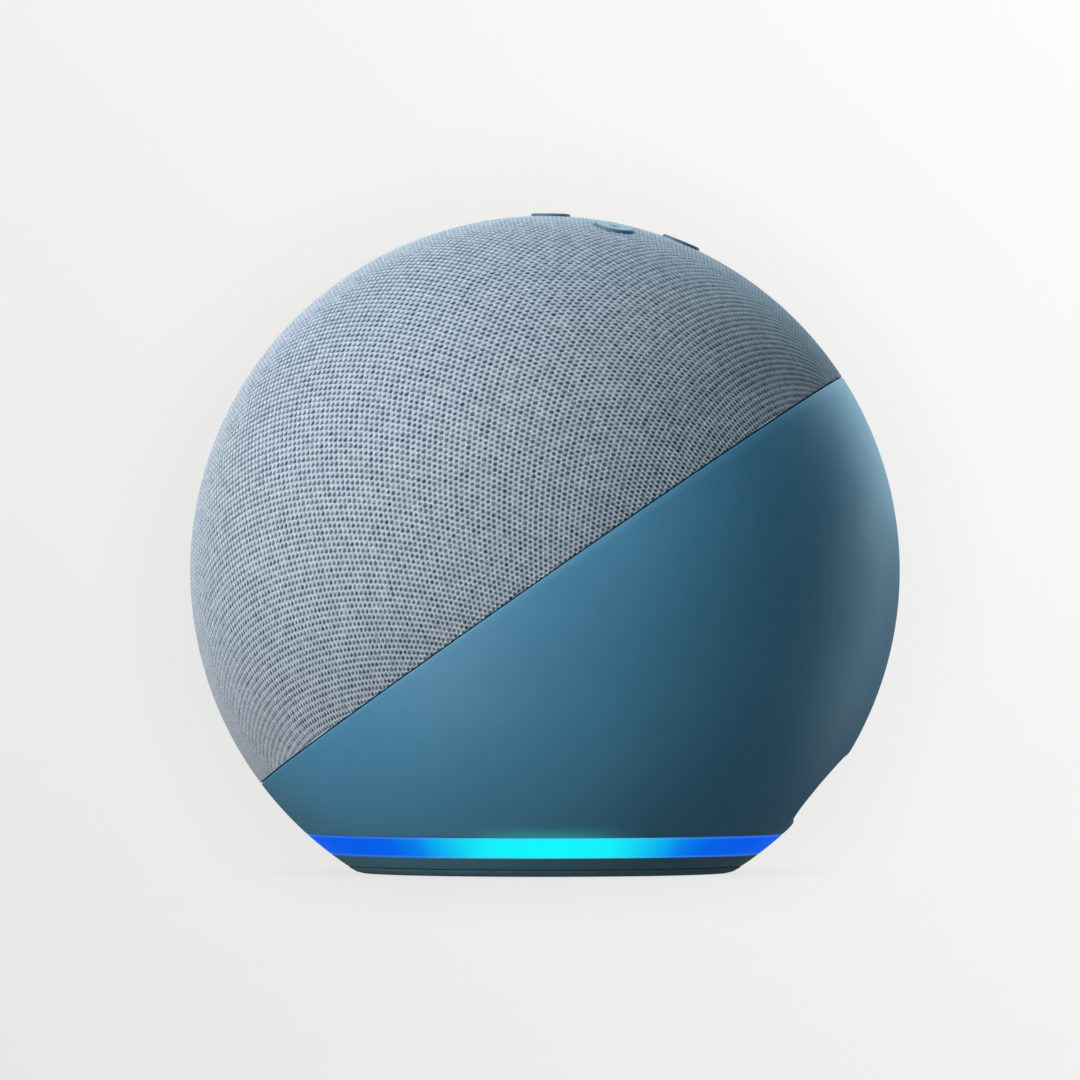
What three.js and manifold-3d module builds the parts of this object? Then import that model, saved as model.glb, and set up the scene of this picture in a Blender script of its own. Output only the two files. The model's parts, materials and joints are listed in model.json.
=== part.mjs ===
// Ball-shaped smart speaker: a fabric-covered driver side, a moulded rear shell with a port bay,
// a light ring above a flat base, and push buttons on top. Millimetres, +Z up, front is -Y, and
// the origin is the middle of the foot's underside.
import * as THREE from 'three';
import { mergeVertices } from 'three/addons/utils/BufferGeometryUtils.js';
import Module from 'manifold-3d';

const wasm = await Module();
wasm.setup();

// ---------------------------------------------------------------- driving dimensions
const BALL_RADIUS = 72;
const BALL_HEIGHT = 61.3;            // ball centre above the table
const DRIVER_TILT = 35;              // degrees the drivers face forward of straight up
const CONTROL_TILT = 11.75;          // degrees the button cluster sits behind straight up
const GAP = 0.3;                     // clearance between neighbouring pieces

const SEAM_OFFSET = -2.4;            // fabric and shell part on this plane across the driver axis
const FABRIC_THICKNESS = 0.9;
const GRILLE_OUTER = BALL_RADIUS - FABRIC_THICKNESS - GAP;
const GRILLE_THICKNESS = 1.8;
const GRILLE_INNER = GRILLE_OUTER - GRILLE_THICKNESS;
const SHELL_THICKNESS = 2.4;
const SHELL_INNER = BALL_RADIUS - SHELL_THICKNESS;

const FOOT_TOP = 1.35;
const FOOT_INNER = 24;
const PLATE_LOW = FOOT_TOP + GAP;
const PLATE_TOP = 3.8;
const RING_LOW = PLATE_TOP + GAP;
const RING_TOP = 7.6;
const SHELL_LOW = RING_TOP + GAP;

const SOCKET_RADIUS = 3.175;         // quarter-inch tripod thread
const INSERT_RADIUS = 4.7;
const INSERT_LOW = 0.9;
const INSERT_TOP = 8.4;
const LED_COUNT = 16;
const BASE_SCREW_CIRCLE = 31.5;
const BASE_SCREW_ANGLES = [-90, 10, 170];

const BUTTON_RADIUS = 4;
const BUTTON_PROUD = 0.45;
const BUTTON_SPREAD = 10.8;          // degrees from the cluster's middle to each button
const BUTTON_HOLE = BUTTON_RADIUS + 0.35;
const BUTTONS = [
  { name: 'action', turn: 0 },
  { name: 'volume_up', turn: 90 },
  { name: 'mic_off', turn: 180 },
  { name: 'volume_down', turn: 270 },
];
const BOARD_LOW = 58;                // control board's heights above the ball centre
const BOARD_TOP = 59.6;
const SWITCH_TOP = 64.9;
const PLUNGER_RADIUS = 1.2;
const PLUNGER_LOW = 63.6;
const PLUNGER_TOP = 65.7;
const CONTROL_SCREWS = [45, 225];
const CONTROL_SCREW_CIRCLE = 18;

const BAY_WIDTH = 24;                // port bay in the back of the shell
const BAY_LOW = 10.5;
const BAY_HIGH = 23.8;
const BAY_BACK = 50;
const BAY_WALL = 2;
const BAY_CORNER = 6.6;
const JACK_HEIGHT = 17;
const POWER_X = -5.5;
const POWER_MOUTH = 4.4;
const AUDIO_X = 6;
const AUDIO_MOUTH = 3.4;
const JACK_FACE = BAY_BACK - BAY_WALL - 2 * GAP;
const IO_LOW = 10.9;
const IO_TOP = 11.9;

// Heights along the driver axis, from the ball centre.
const BAFFLE_RADIUS = 66.5;
const BAFFLE_LOW = -1.2;
const BAFFLE_TOP = 2.3;
const WOOFER_HOLE = 35.9;
const WOOFER_SCREW_CIRCLE = 39.2;
const TWEETER_X = 54;
const TWEETER_HOLE = 10.2;
const BASKET_TOP = 4.4;
const TUB_RADIUS = 42.5;
const TUB_FLOOR = -39.5;
const BAFFLE_SCREW_CIRCLE = 61;
const QUARTERS = [45, 135, 225, 315];
const MAIN_BOARD_LOW = -46.8;
const MAIN_BOARD_TOP = -45.2;
const MAIN_BOARD_SHIFT = 6;

const SCREW_HOLE = 1.4;
const SCREW_SHANK = 1;
const PILOT_HOLE = 1.35;

const SHELL_SIDES = 32;              // flat sides round the large turned pieces
const DRIVER_SIDES = 20;
const SMALL_SIDES = 16;
const SCREW_SIDES = 8;

// ---------------------------------------------------------------- materials
function finish(color, roughness, metalness = 0) {
  return new THREE.MeshStandardMaterial({ color, roughness, metalness });
}

const fabric = finish(0x9fb3c4, 0.95);
const shellPlastic = finish(0x3d6d8a, 0.45);
const basePlastic = finish(0x27414f, 0.55);
const lightPlastic = finish(0x0fc8f5, 0.3);
const buttonPlastic = finish(0x4d6f86, 0.5);
const innerPlastic = finish(0x2a2c2f, 0.7);
const rubber = finish(0x26343d, 0.9);
const brass = finish(0xc9a14a, 0.35, 1);
const steel = finish(0x8d9299, 0.4, 1);
const ferrite = finish(0x35373b, 0.8);
const aluminium = finish(0xb9bdc2, 0.4, 1);
const circuitBoard = finish(0x1f5a3c, 0.6);
const paperCone = finish(0x232323, 0.95);
const copper = finish(0xb8733a, 0.4, 1);
const flexFilm = finish(0xb5782e, 0.5);
const cableJacket = finish(0x1c1d20, 0.7);

// ---------------------------------------------------------------- shape helpers
function radians(degrees) {
  return THREE.MathUtils.degToRad(degrees);
}

// Radius of the ball's own surface at a height above the table.
function ballRadiusAt(height, radius = BALL_RADIUS) {
  return Math.sqrt(radius ** 2 - (BALL_HEIGHT - height) ** 2);
}

// Shares the vertices, drops triangles with no area and turns the faces outward.
function closed(geometry) {
  const bare = geometry.clone();
  bare.deleteAttribute('normal');
  bare.deleteAttribute('uv');
  const welded = mergeVertices(bare, 1e-4);
  const index = welded.index.array;
  const position = welded.attributes.position;
  const kept = [];
  const corners = [0, 1, 2].map(() => new THREE.Vector3());
  let volume = 0;
  for (let i = 0; i < index.length; i += 3) {
    const [a, b, c] = [index[i], index[i + 1], index[i + 2]];
    if (a === b || b === c || a === c) continue;
    kept.push(a, b, c);
    [a, b, c].forEach((vertex, k) => corners[k].fromBufferAttribute(position, vertex));
    volume += corners[0].dot(corners[1].clone().cross(corners[2]));
  }
  welded.setIndex(volume > 0 ? kept : kept.reverse());
  return welded;
}

function solid(geometry) {
  const { index, attributes } = closed(geometry);
  return new wasm.Manifold(new wasm.Mesh({
    numProp: 3,
    vertProperties: new Float32Array(attributes.position.array),
    triVerts: new Uint32Array(index.array),
  }));
}

function geometryOf(body) {
  const mesh = body.getMesh();
  const geometry = new THREE.BufferGeometry();
  geometry.setAttribute('position', new THREE.BufferAttribute(mesh.vertProperties, 3));
  geometry.setIndex(new THREE.BufferAttribute(mesh.triVerts, 1));
  return geometry;
}

function cut(body, tools) {
  return tools.reduce((rest, tool) => rest.subtract(solid(tool)), body);
}

function join(body, pieces) {
  return pieces.reduce((whole, piece) => whole.add(solid(piece)), body);
}

// A profile of [radius, height] points turned about +Z.
function turned(profile, sides) {
  const points = profile.map(([radius, height]) => new THREE.Vector2(radius, height));
  return closed(new THREE.LatheGeometry(points, sides).rotateX(Math.PI / 2));
}

function disc(radius, low, high, sides = SMALL_SIDES) {
  return turned([[0, low], [radius, low], [radius, high], [0, high]], sides);
}

function ring(inner, outer, low, high, sides = SMALL_SIDES) {
  return turned([[inner, low], [outer, low], [outer, high], [inner, high], [inner, low]], sides);
}

function block(width, depth, low, high) {
  return new THREE.BoxGeometry(width, depth, high - low).translate(0, 0, (low + high) / 2);
}

// A copy of a shape moved out to a circle about +Z at an angle in degrees.
function onCircle(shape, circle, degrees) {
  return shape.clone().translate(circle, 0, 0).rotateZ(radians(degrees));
}

// A rounded rectangle across the rear, pushed along +Y from one depth to another.
function rearPrism(width, low, high, corner, from, to) {
  const [x, y] = [width / 2, (high - low) / 2];
  const outline = new THREE.Shape();
  outline.absarc(x - corner, y - corner, corner, 0, Math.PI / 2);
  outline.absarc(corner - x, y - corner, corner, Math.PI / 2, Math.PI);
  outline.absarc(corner - x, corner - y, corner, Math.PI, Math.PI * 1.5);
  outline.absarc(x - corner, corner - y, corner, Math.PI * 1.5, Math.PI * 2);
  const prism = new THREE.ExtrudeGeometry(outline, {
    depth: to - from, bevelEnabled: false, curveSegments: 4,
  });
  return prism.rotateX(-Math.PI / 2).translate(0, from, (low + high) / 2);
}

// Polar angles from the driver axis, in even steps through each of the given stops.
function polarSteps(stops, step = 12) {
  const angles = [stops[0]];
  for (let i = 1; i < stops.length; i += 1) {
    const count = Math.ceil(Math.abs(stops[i] - stops[i - 1]) / step);
    for (let k = 1; k <= count; k += 1) {
      angles.push(THREE.MathUtils.lerp(stops[i - 1], stops[i], k / count));
    }
  }
  return angles;
}

// Part of a hollow ball, about the driver axis, from the pole to a flat rim.
function ballShell(outer, inner, rim, pole) {
  const level = (degrees) => (pole === 0 ? degrees : 180 - degrees);
  const arc = (radius) => {
    const end = level(THREE.MathUtils.radToDeg(Math.acos(rim / radius)));
    const stops = end > 90 ? [0, 55, 90, end] : [0, 55, end];
    return polarSteps(stops).map((degrees) => {
      const angle = radians(level(degrees));
      return [radius * Math.sin(angle), radius * Math.cos(angle)];
    });
  };
  return turned([...arc(outer), ...arc(inner).reverse()], SHELL_SIDES).rotateX(radians(DRIVER_TILT));
}

// A screw whose head rests at height zero, with its shank pointing down.
function screw(headRadius, headHeight, length) {
  const recess = headHeight - 0.7;
  const drive = 0.9;
  return turned([
    [0, -length], [SCREW_SHANK, 0.8 - length], [SCREW_SHANK, 0], [headRadius, 0],
    [headRadius, headHeight], [drive, headHeight], [drive, recess], [0, recess],
  ], SCREW_SIDES);
}

// A section swept along a smooth curve through the given points.
function swept(section, points, steps) {
  const path = new THREE.CatmullRomCurve3(points.map((point) => new THREE.Vector3(...point)));
  return new THREE.ExtrudeGeometry(section, { steps, extrudePath: path, bevelEnabled: false });
}

function roundSection(radius, sides) {
  const corners = [];
  for (let i = 0; i < sides; i += 1) {
    const angle = (i / sides) * Math.PI * 2;
    corners.push(new THREE.Vector2(radius * Math.cos(angle), radius * Math.sin(angle)));
  }
  return new THREE.Shape(corners);
}

// ---------------------------------------------------------------- groups
const speaker = new THREE.Group();
const ball = new THREE.Group();
ball.position.z = BALL_HEIGHT;
speaker.add(ball);
const drivers = new THREE.Group();
drivers.rotation.x = radians(DRIVER_TILT);
ball.add(drivers);
const controls = new THREE.Group();
controls.rotation.x = radians(-CONTROL_TILT);
ball.add(controls);

function add(group, name, shape, material, place = [0, 0, 0]) {
  const geometry = shape.isBufferGeometry ? closed(shape) : geometryOf(shape);
  const mesh = new THREE.Mesh(geometry, material);
  mesh.name = name;
  mesh.position.set(...place);
  group.add(mesh);
  return mesh;
}

// Tips a button's parts from the cluster's middle out to its own place; turn 0 is to the front.
function tipped(shape, turn) {
  return shape.clone().rotateX(radians(BUTTON_SPREAD)).rotateZ(radians(turn));
}

// ---------------------------------------------------------------- fabric and grille
const buttonHoles = BUTTONS.map(({ turn }) => (
  tipped(disc(BUTTON_HOLE, GRILLE_INNER - 3, BALL_RADIUS + 4), turn).rotateX(radians(-CONTROL_TILT))
));

function fabricCover() {
  const rim = SEAM_OFFSET + GAP / 2;
  const cap = ballShell(BALL_RADIUS, BALL_RADIUS - FABRIC_THICKNESS, rim, 0);
  return cut(solid(cap), buttonHoles);
}

// Sound holes in rings about the driver axis, left out under the button cluster.
function soundHoles() {
  const rings = [{ angle: 12, count: 5 }, { angle: 27, count: 9 }];
  const radius = 4.2;
  const corners = 6;
  const buttonMargin = 8;
  const hole = disc(radius, GRILLE_INNER - 2, GRILLE_OUTER + 2, corners);
  const keepClear = radians(DRIVER_TILT + CONTROL_TILT - BUTTON_SPREAD - buttonMargin);
  const holes = [];
  for (const { angle, count } of rings) {
    for (let i = 0; i < count; i += 1) {
      const turn = ((i + 0.5) / count) * 360;
      const nearButtons = Math.cos(radians(turn)) > 0.7 && radians(angle) > keepClear;
      if (!nearButtons) {
        const tilted = hole.clone().rotateX(radians(-angle)).rotateZ(radians(turn));
        holes.push(tilted.rotateX(radians(DRIVER_TILT)));
      }
    }
  }
  return holes;
}

function grilleDome() {
  const rim = SEAM_OFFSET + GAP / 2;
  const dome = solid(ballShell(GRILLE_OUTER, GRILLE_INNER, rim, 0));
  const bossRadius = 2.6;
  const bossTop = 66.9;
  const pilotTop = 65.5;
  const tilt = radians(-CONTROL_TILT);
  const boss = disc(bossRadius, BOARD_TOP + GAP, bossTop, SCREW_SIDES);
  const pilot = disc(PILOT_HOLE, BOARD_LOW, pilotTop, SCREW_SIDES);
  const bosses = CONTROL_SCREWS.map((turn) => onCircle(boss, CONTROL_SCREW_CIRCLE, turn).rotateX(tilt));
  const pilots = CONTROL_SCREWS.map((turn) => onCircle(pilot, CONTROL_SCREW_CIRCLE, turn).rotateX(tilt));
  return cut(join(dome, bosses), [...pilots, ...buttonHoles, ...soundHoles()]);
}

add(ball, 'fabric_cover', fabricCover(), fabric);
add(ball, 'grille_dome', grilleDome(), innerPlastic);

// ---------------------------------------------------------------- rear shell
function rearHousing() {
  const rim = SEAM_OFFSET - GAP / 2;
  const base = SHELL_LOW - BALL_HEIGHT;
  const reach = BALL_RADIUS * 2;
  const skinDepth = 1;
  const withinSkin = solid(
    new THREE.SphereGeometry(BALL_RADIUS - skinDepth, SHELL_SIDES, 18).rotateX(Math.PI / 2),
  );

  // Posts under the baffle and ribs over the base carry the screws.
  const postRadius = 3;
  const postEnd = -37;
  const pilotDepth = 12;
  const post = disc(postRadius, postEnd, BAFFLE_LOW - GAP, SCREW_SIDES);
  const postPilot = disc(PILOT_HOLE, -pilotDepth, 0, SCREW_SIDES);
  const alongDriver = (shape, turn) => (
    onCircle(shape, BAFFLE_SCREW_CIRCLE, turn).rotateX(radians(DRIVER_TILT))
  );
  const ribInner = BASE_SCREW_CIRCLE - postRadius;
  const ribOuter = 56;
  const ribTop = 12;
  const ribLength = ribOuter - ribInner;
  const rib = block(ribLength, 2 * postRadius, SHELL_LOW, ribTop).translate(ribInner + ribLength / 2, 0, 0);
  const ribPilot = disc(PILOT_HOLE, SHELL_LOW - 1, ribTop - 1, SCREW_SIDES);
  const ribs = BASE_SCREW_ANGLES.map((turn) => (
    rib.clone().rotateZ(radians(turn)).translate(0, 0, -BALL_HEIGHT)
  ));
  const ribPilots = BASE_SCREW_ANGLES.map((turn) => (
    onCircle(ribPilot, BASE_SCREW_CIRCLE, turn).translate(0, 0, -BALL_HEIGHT)
  ));
  const bay = rearPrism(
    BAY_WIDTH + 2 * BAY_WALL, BAY_LOW - BAY_WALL, BAY_HIGH + BAY_WALL, BAY_CORNER + BAY_WALL,
    BAY_BACK - BAY_WALL, BALL_RADIUS,
  ).translate(0, 0, -BALL_HEIGHT);
  const posts = QUARTERS.map((turn) => alongDriver(post, turn));
  const fittings = [...ribs, ...posts, bay].reduce(
    (all, piece) => all.add(solid(piece).intersect(withinSkin)),
    solid(ballShell(BALL_RADIUS, SHELL_INNER, rim, 180)),
  );

  const pocket = rearPrism(BAY_WIDTH, BAY_LOW, BAY_HIGH, BAY_CORNER, BAY_BACK, reach)
    .translate(0, 0, -BALL_HEIGHT);
  const mouth = (x, radius) => disc(radius, BAY_BACK - 2 * BAY_WALL, BAY_BACK + 1, SMALL_SIDES)
    .rotateX(-Math.PI / 2).translate(x, 0, JACK_HEIGHT - BALL_HEIGHT);
  return cut(fittings, [
    block(reach, reach, base - reach, base), pocket,
    mouth(POWER_X, POWER_MOUTH), mouth(AUDIO_X, AUDIO_MOUTH),
    ...ribPilots, ...QUARTERS.map((turn) => alongDriver(postPilot, turn)),
  ]);
}

add(ball, 'rear_housing', rearHousing(), shellPlastic);

// ---------------------------------------------------------------- light ring, base and foot
function lightRing() {
  const inner = 40.2;
  const lip = 3;
  const slope = 0.9;
  const middle = (RING_LOW + RING_TOP) / 2;
  return turned([
    [inner, RING_LOW], [ballRadiusAt(RING_LOW), RING_LOW], [ballRadiusAt(middle), middle],
    [ballRadiusAt(RING_TOP), RING_TOP], [ballRadiusAt(RING_TOP) - lip, RING_TOP],
    [inner, RING_TOP - slope], [inner, RING_LOW],
  ], SHELL_SIDES);
}

const BASE_PAD_TOP = 7.6;
const BASE_PAD_RADIUS = 3.6;

function basePlate() {
  const hole = INSERT_RADIUS + GAP;
  const bossRadius = hole + 2.6;
  const bossTop = INSERT_TOP + GAP;
  const middleLow = 0.6;
  const middleRadius = FOOT_INNER - 0.4;
  const counterbore = 3.2;
  const counterboreRadius = 2.8;
  const plate = solid(turned([
    [hole, middleLow], [middleRadius, middleLow], [middleRadius, PLATE_LOW],
    [ballRadiusAt(PLATE_LOW), PLATE_LOW], [ballRadiusAt(PLATE_TOP), PLATE_TOP],
    [bossRadius, PLATE_TOP], [bossRadius, bossTop], [hole, bossTop], [hole, middleLow],
  ], SHELL_SIDES));
  const pad = disc(BASE_PAD_RADIUS, PLATE_TOP - 1, BASE_PAD_TOP, SCREW_SIDES);
  const headRoom = disc(counterboreRadius, 0, counterbore, SCREW_SIDES);
  const shankHole = disc(SCREW_HOLE, 0, BASE_PAD_TOP + 1, SCREW_SIDES);
  const around = (shape) => BASE_SCREW_ANGLES.map((turn) => onCircle(shape, BASE_SCREW_CIRCLE, turn));
  return cut(join(plate, around(pad)), [...around(headRoom), ...around(shankHole)]);
}

function rubberFoot() {
  const treadRadius = 37;
  return turned([
    [FOOT_INNER, 0], [treadRadius, 0], [treadRadius + 1.2, 0.35], [ballRadiusAt(FOOT_TOP), FOOT_TOP],
    [FOOT_INNER, FOOT_TOP], [FOOT_INNER, 0],
  ], SHELL_SIDES);
}

function ledRingBoard() {
  const inner = 33;
  const outer = 39.4;
  const thickness = 1.2;
  const board = solid(ring(inner, outer, RING_LOW, RING_LOW + thickness, SHELL_SIDES));
  const led = block(1.8, 3, RING_LOW + thickness - 0.2, RING_LOW + thickness + 1.3);
  const leds = [];
  for (let i = 0; i < LED_COUNT; i += 1) {
    leds.push(onCircle(led, outer - 1.3, ((i + 0.5) / LED_COUNT) * 360));
  }
  const bite = disc(BASE_PAD_RADIUS + GAP, 0, BASE_PAD_TOP, SCREW_SIDES);
  return cut(join(board, leds), BASE_SCREW_ANGLES.map((turn) => onCircle(bite, BASE_SCREW_CIRCLE, turn)));
}

add(speaker, 'light_ring', lightRing(), lightPlastic);
add(speaker, 'base_plate', basePlate(), basePlastic);
add(speaker, 'rubber_foot', rubberFoot(), rubber);
add(speaker, 'thread_insert', ring(SOCKET_RADIUS, INSERT_RADIUS, INSERT_LOW, INSERT_TOP), brass);
add(speaker, 'led_ring_board', ledRingBoard(), circuitBoard);

const BASE_SCREW_SEAT = 2.9;
BASE_SCREW_ANGLES.forEach((turn, i) => {
  const shape = screw(2.4, 1.2, 7.7).rotateX(Math.PI);
  const place = [0, 0, BASE_SCREW_SEAT];
  add(speaker, `base_screw_${i + 1}`, onCircle(shape, BASE_SCREW_CIRCLE, turn), steel, place);
});

// ---------------------------------------------------------------- buttons and their board
function buttonCap() {
  const top = BALL_RADIUS + BUTTON_PROUD;
  const stemLow = 66;
  const stemRadius = 1.5;
  const flangeLow = 66.9;
  const flangeTop = 67.7;
  const flangeRadius = BUTTON_RADIUS + 1;
  return turned([
    [0, stemLow], [stemRadius, stemLow], [stemRadius, flangeLow], [flangeRadius, flangeLow],
    [flangeRadius, flangeTop], [BUTTON_RADIUS, flangeTop], [BUTTON_RADIUS, top - 0.4],
    [BUTTON_RADIUS - 0.15, top - 0.15], [BUTTON_RADIUS - 0.5, top - 0.05], [0, top],
  ], SMALL_SIDES);
}

// A switch has a flat foot on the board and a pocket along the button's own line of travel.
function switchBody(turn) {
  const width = 6;
  const reach = 60;
  const pocketRadius = 1.5;
  const pocketFloor = PLUNGER_LOW - 1;
  const boardSide = BOARD_TOP + GAP;
  const box = solid(tipped(block(width, width, BOARD_LOW, SWITCH_TOP), turn));
  return cut(box, [
    block(reach, reach, 0, boardSide),
    tipped(disc(pocketRadius, pocketFloor, SWITCH_TOP + 1, SCREW_SIDES), turn),
  ]);
}

function controlBoard() {
  const boardRadius = 21;
  const microphoneCircle = 18.4;
  const board = solid(disc(boardRadius, BOARD_LOW, BOARD_TOP, DRIVER_SIDES));
  const microphone = block(3.5, 2.6, BOARD_TOP - 0.2, BOARD_TOP + 1);
  const microphones = [0, 90, 180, 270].map((turn) => onCircle(microphone, microphoneCircle, turn));
  const holes = CONTROL_SCREWS.map((turn) => (
    onCircle(disc(SCREW_HOLE, BOARD_LOW - 1, BOARD_TOP + 1, SCREW_SIDES), CONTROL_SCREW_CIRCLE, turn)
  ));
  return cut(join(board, microphones), holes);
}

for (const { name, turn } of BUTTONS) {
  const plunger = disc(PLUNGER_RADIUS, PLUNGER_LOW, PLUNGER_TOP, SCREW_SIDES);
  add(controls, `${name}_button`, tipped(buttonCap(), turn), buttonPlastic);
  add(controls, `${name}_plunger`, tipped(plunger, turn), innerPlastic);
  add(controls, `${name}_switch`, switchBody(turn), steel);
}
add(controls, 'control_board', controlBoard(), circuitBoard);
CONTROL_SCREWS.forEach((turn, i) => {
  const shape = screw(2.2, 1.3, 6.3).rotateX(Math.PI);
  const place = [0, 0, BOARD_LOW - GAP];
  add(controls, `control_screw_${i + 1}`, onCircle(shape, CONTROL_SCREW_CIRCLE, turn), steel, place);
});

// ---------------------------------------------------------------- baffle, tub and their screws
function driverBaffle() {
  const low = BAFFLE_LOW - 1;
  const high = BAFFLE_TOP + 1;
  const tweeterHole = disc(TWEETER_HOLE, low, high);
  const screwHole = disc(SCREW_HOLE, low, high, SCREW_SIDES);
  const ribbonSlot = block(18, 20, low, high).translate(0, BAFFLE_RADIUS + 1, 0);
  return cut(solid(disc(BAFFLE_RADIUS, BAFFLE_LOW, BAFFLE_TOP, SHELL_SIDES)), [
    disc(WOOFER_HOLE, low, high, DRIVER_SIDES),
    tweeterHole.clone().translate(-TWEETER_X, 0, 0),
    tweeterHole.clone().translate(TWEETER_X, 0, 0),
    ribbonSlot,
    ...QUARTERS.map((turn) => onCircle(screwHole, WOOFER_SCREW_CIRCLE, turn)),
    ...QUARTERS.map((turn) => onCircle(screwHole, BAFFLE_SCREW_CIRCLE, turn)),
  ]);
}

const LEAD_HOLE_HEIGHT = -14;

function speakerTub() {
  const top = BAFFLE_LOW - GAP;
  const wall = 2.2;
  const rimInner = 37.2;
  const rimThickness = 2.5;
  const cup = solid(turned([
    [0, TUB_FLOOR], [28, TUB_FLOOR], [TUB_RADIUS, -24], [TUB_RADIUS, top], [rimInner, top],
    [rimInner, top - rimThickness], [TUB_RADIUS - wall, top - rimThickness], [TUB_RADIUS - wall, -23.2],
    [27.2, TUB_FLOOR + wall], [0, TUB_FLOOR + wall],
  ], DRIVER_SIDES));
  const pilot = disc(PILOT_HOLE, top - 3.5, top + 1, SCREW_SIDES);
  const leadHoleRadius = 2;
  const leadHole = disc(leadHoleRadius, TUB_RADIUS - 6, TUB_RADIUS + 2, SCREW_SIDES)
    .rotateY(Math.PI / 2).translate(0, 0, LEAD_HOLE_HEIGHT);
  return cut(cup, [...QUARTERS.map((turn) => onCircle(pilot, WOOFER_SCREW_CIRCLE, turn)), leadHole]);
}

add(drivers, 'driver_baffle', driverBaffle(), innerPlastic);
add(drivers, 'speaker_tub', speakerTub(), innerPlastic);
QUARTERS.forEach((turn, i) => {
  const driverScrew = onCircle(screw(2, 1.2, 8), WOOFER_SCREW_CIRCLE, turn);
  const baffleScrew = onCircle(screw(2.5, 1.3, 9), BAFFLE_SCREW_CIRCLE, turn);
  add(drivers, `woofer_screw_${i + 1}`, driverScrew, steel, [0, 0, BASKET_TOP + GAP]);
  add(drivers, `baffle_screw_${i + 1}`, baffleScrew, steel, [0, 0, BAFFLE_TOP + GAP]);
});

// ---------------------------------------------------------------- woofer
function wooferBasket() {
  const body = solid(turned([
    [41.8, BASKET_TOP], [34.4, BASKET_TOP], [34.4, -1], [26.2, -10.9], [21.5, -10.9], [21.5, -12.6],
    [13.9, -12.6], [13.9, -14], [27.6, -14], [27.6, -12.2], [35.5, -2], [35.5, 2.6], [41.8, 2.6],
    [41.8, BASKET_TOP],
  ], DRIVER_SIDES));
  const windowCircle = 31.5;
  const window = block(8, 12, -9.6, -3.6);
  const windows = [0, 60, 120, 180, 240, 300].map((turn) => onCircle(window, windowCircle, turn));
  const screwHole = disc(SCREW_HOLE, 0, BASKET_TOP + 1, SCREW_SIDES);
  return cut(body, [...windows, ...QUARTERS.map((turn) => onCircle(screwHole, WOOFER_SCREW_CIRCLE, turn))]);
}

function wooferCone() {
  return turned([
    [13.3, -7.6], [22, -2.8], [28.6, 3.2], [31, 3.6], [31, 4.2], [28.4, 3.9], [21.6, -2.1],
    [13.3, -6.8], [13.3, -7.6],
  ], DRIVER_SIDES);
}

function dustCap() {
  const edge = 15;
  const edgeHeight = -4.9;
  const rise = 3.5;
  const thickness = 0.5;
  const curve = (edge ** 2 + rise ** 2) / (2 * rise);
  const top = [edge, 11, 6, 0].map((radius) => (
    [radius, edgeHeight + rise - curve + Math.sqrt(curve ** 2 - radius ** 2)]
  ));
  const bottom = top.map(([radius, height]) => [radius, height - thickness]);
  return turned([...top.reverse(), ...bottom], DRIVER_SIDES);
}

// A half roll between an outer lip on the basket and an inner lip on the cone.
function wooferSurround() {
  const lipLow = BASKET_TOP + GAP;
  const lipTop = lipLow + 0.5;
  const middle = 33.1;
  const roll = (radius, sign) => [0, 45, 90, 135, 180].map((degrees) => {
    const angle = radians(sign > 0 ? degrees : 180 - degrees);
    return [middle + radius * Math.cos(angle), lipTop + radius * Math.sin(angle)];
  });
  return turned([
    [36.8, lipLow], [36.8, lipTop], ...roll(1.9, 1), [29.3, lipTop], [29.3, lipLow],
    [31.7, lipLow], ...roll(1.4, -1), [34.5, lipLow], [36.8, lipLow],
  ], DRIVER_SIDES);
}

function wooferSpider() {
  const thickness = 0.4;
  const waves = [[13.3, -10.5], [15.5, -9.8], [17.5, -11], [19.5, -9.8], [21.4, -10.6], [25.5, -10.6]];
  const top = waves.map(([radius, height]) => [radius, height + thickness]).reverse();
  return turned([...waves, ...top, waves[0]], DRIVER_SIDES);
}

function wooferYoke() {
  const pole = 11.5;
  const poleTop = -14.6;
  const plate = 22.5;
  const plateLow = -28.9;
  const plateTop = -25.9;
  return turned([
    [0, plateLow], [plate, plateLow], [plate, plateTop], [pole, plateTop], [pole, poleTop], [0, poleTop],
  ], DRIVER_SIDES);
}

add(drivers, 'woofer_basket', wooferBasket(), steel);
add(drivers, 'woofer_cone', wooferCone(), paperCone);
add(drivers, 'woofer_dust_cap', dustCap(), paperCone);
add(drivers, 'woofer_surround', wooferSurround(), rubber);
add(drivers, 'woofer_spider', wooferSpider(), flexFilm);
add(drivers, 'woofer_voice_coil', ring(12.1, 12.9, -19, -5.6, DRIVER_SIDES), copper);
add(drivers, 'woofer_top_plate', ring(13.6, 22.5, -17.3, -14.3, DRIVER_SIDES), steel);
add(drivers, 'woofer_magnet', ring(14.5, 24, -25.6, -17.6, DRIVER_SIDES), ferrite);
add(drivers, 'woofer_yoke', wooferYoke(), steel);

// ---------------------------------------------------------------- tweeters
function tweeterFrame() {
  return turned([
    [8.2, 4.2], [11.6, 4.2], [11.6, 2.6], [9.9, 2.6], [9.9, -1], [8.2, -1], [8.2, 4.2],
  ], SMALL_SIDES);
}

function tweeterDome() {
  return turned([
    [0, 3.6], [2.6, 3.3], [4.8, 2.4], [6, 1.2], [7.8, 1.2], [7.8, 0.7], [5.7, 0.7], [4.4, 1.8],
    [2.4, 2.7], [0, 3],
  ], SMALL_SIDES);
}

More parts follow.
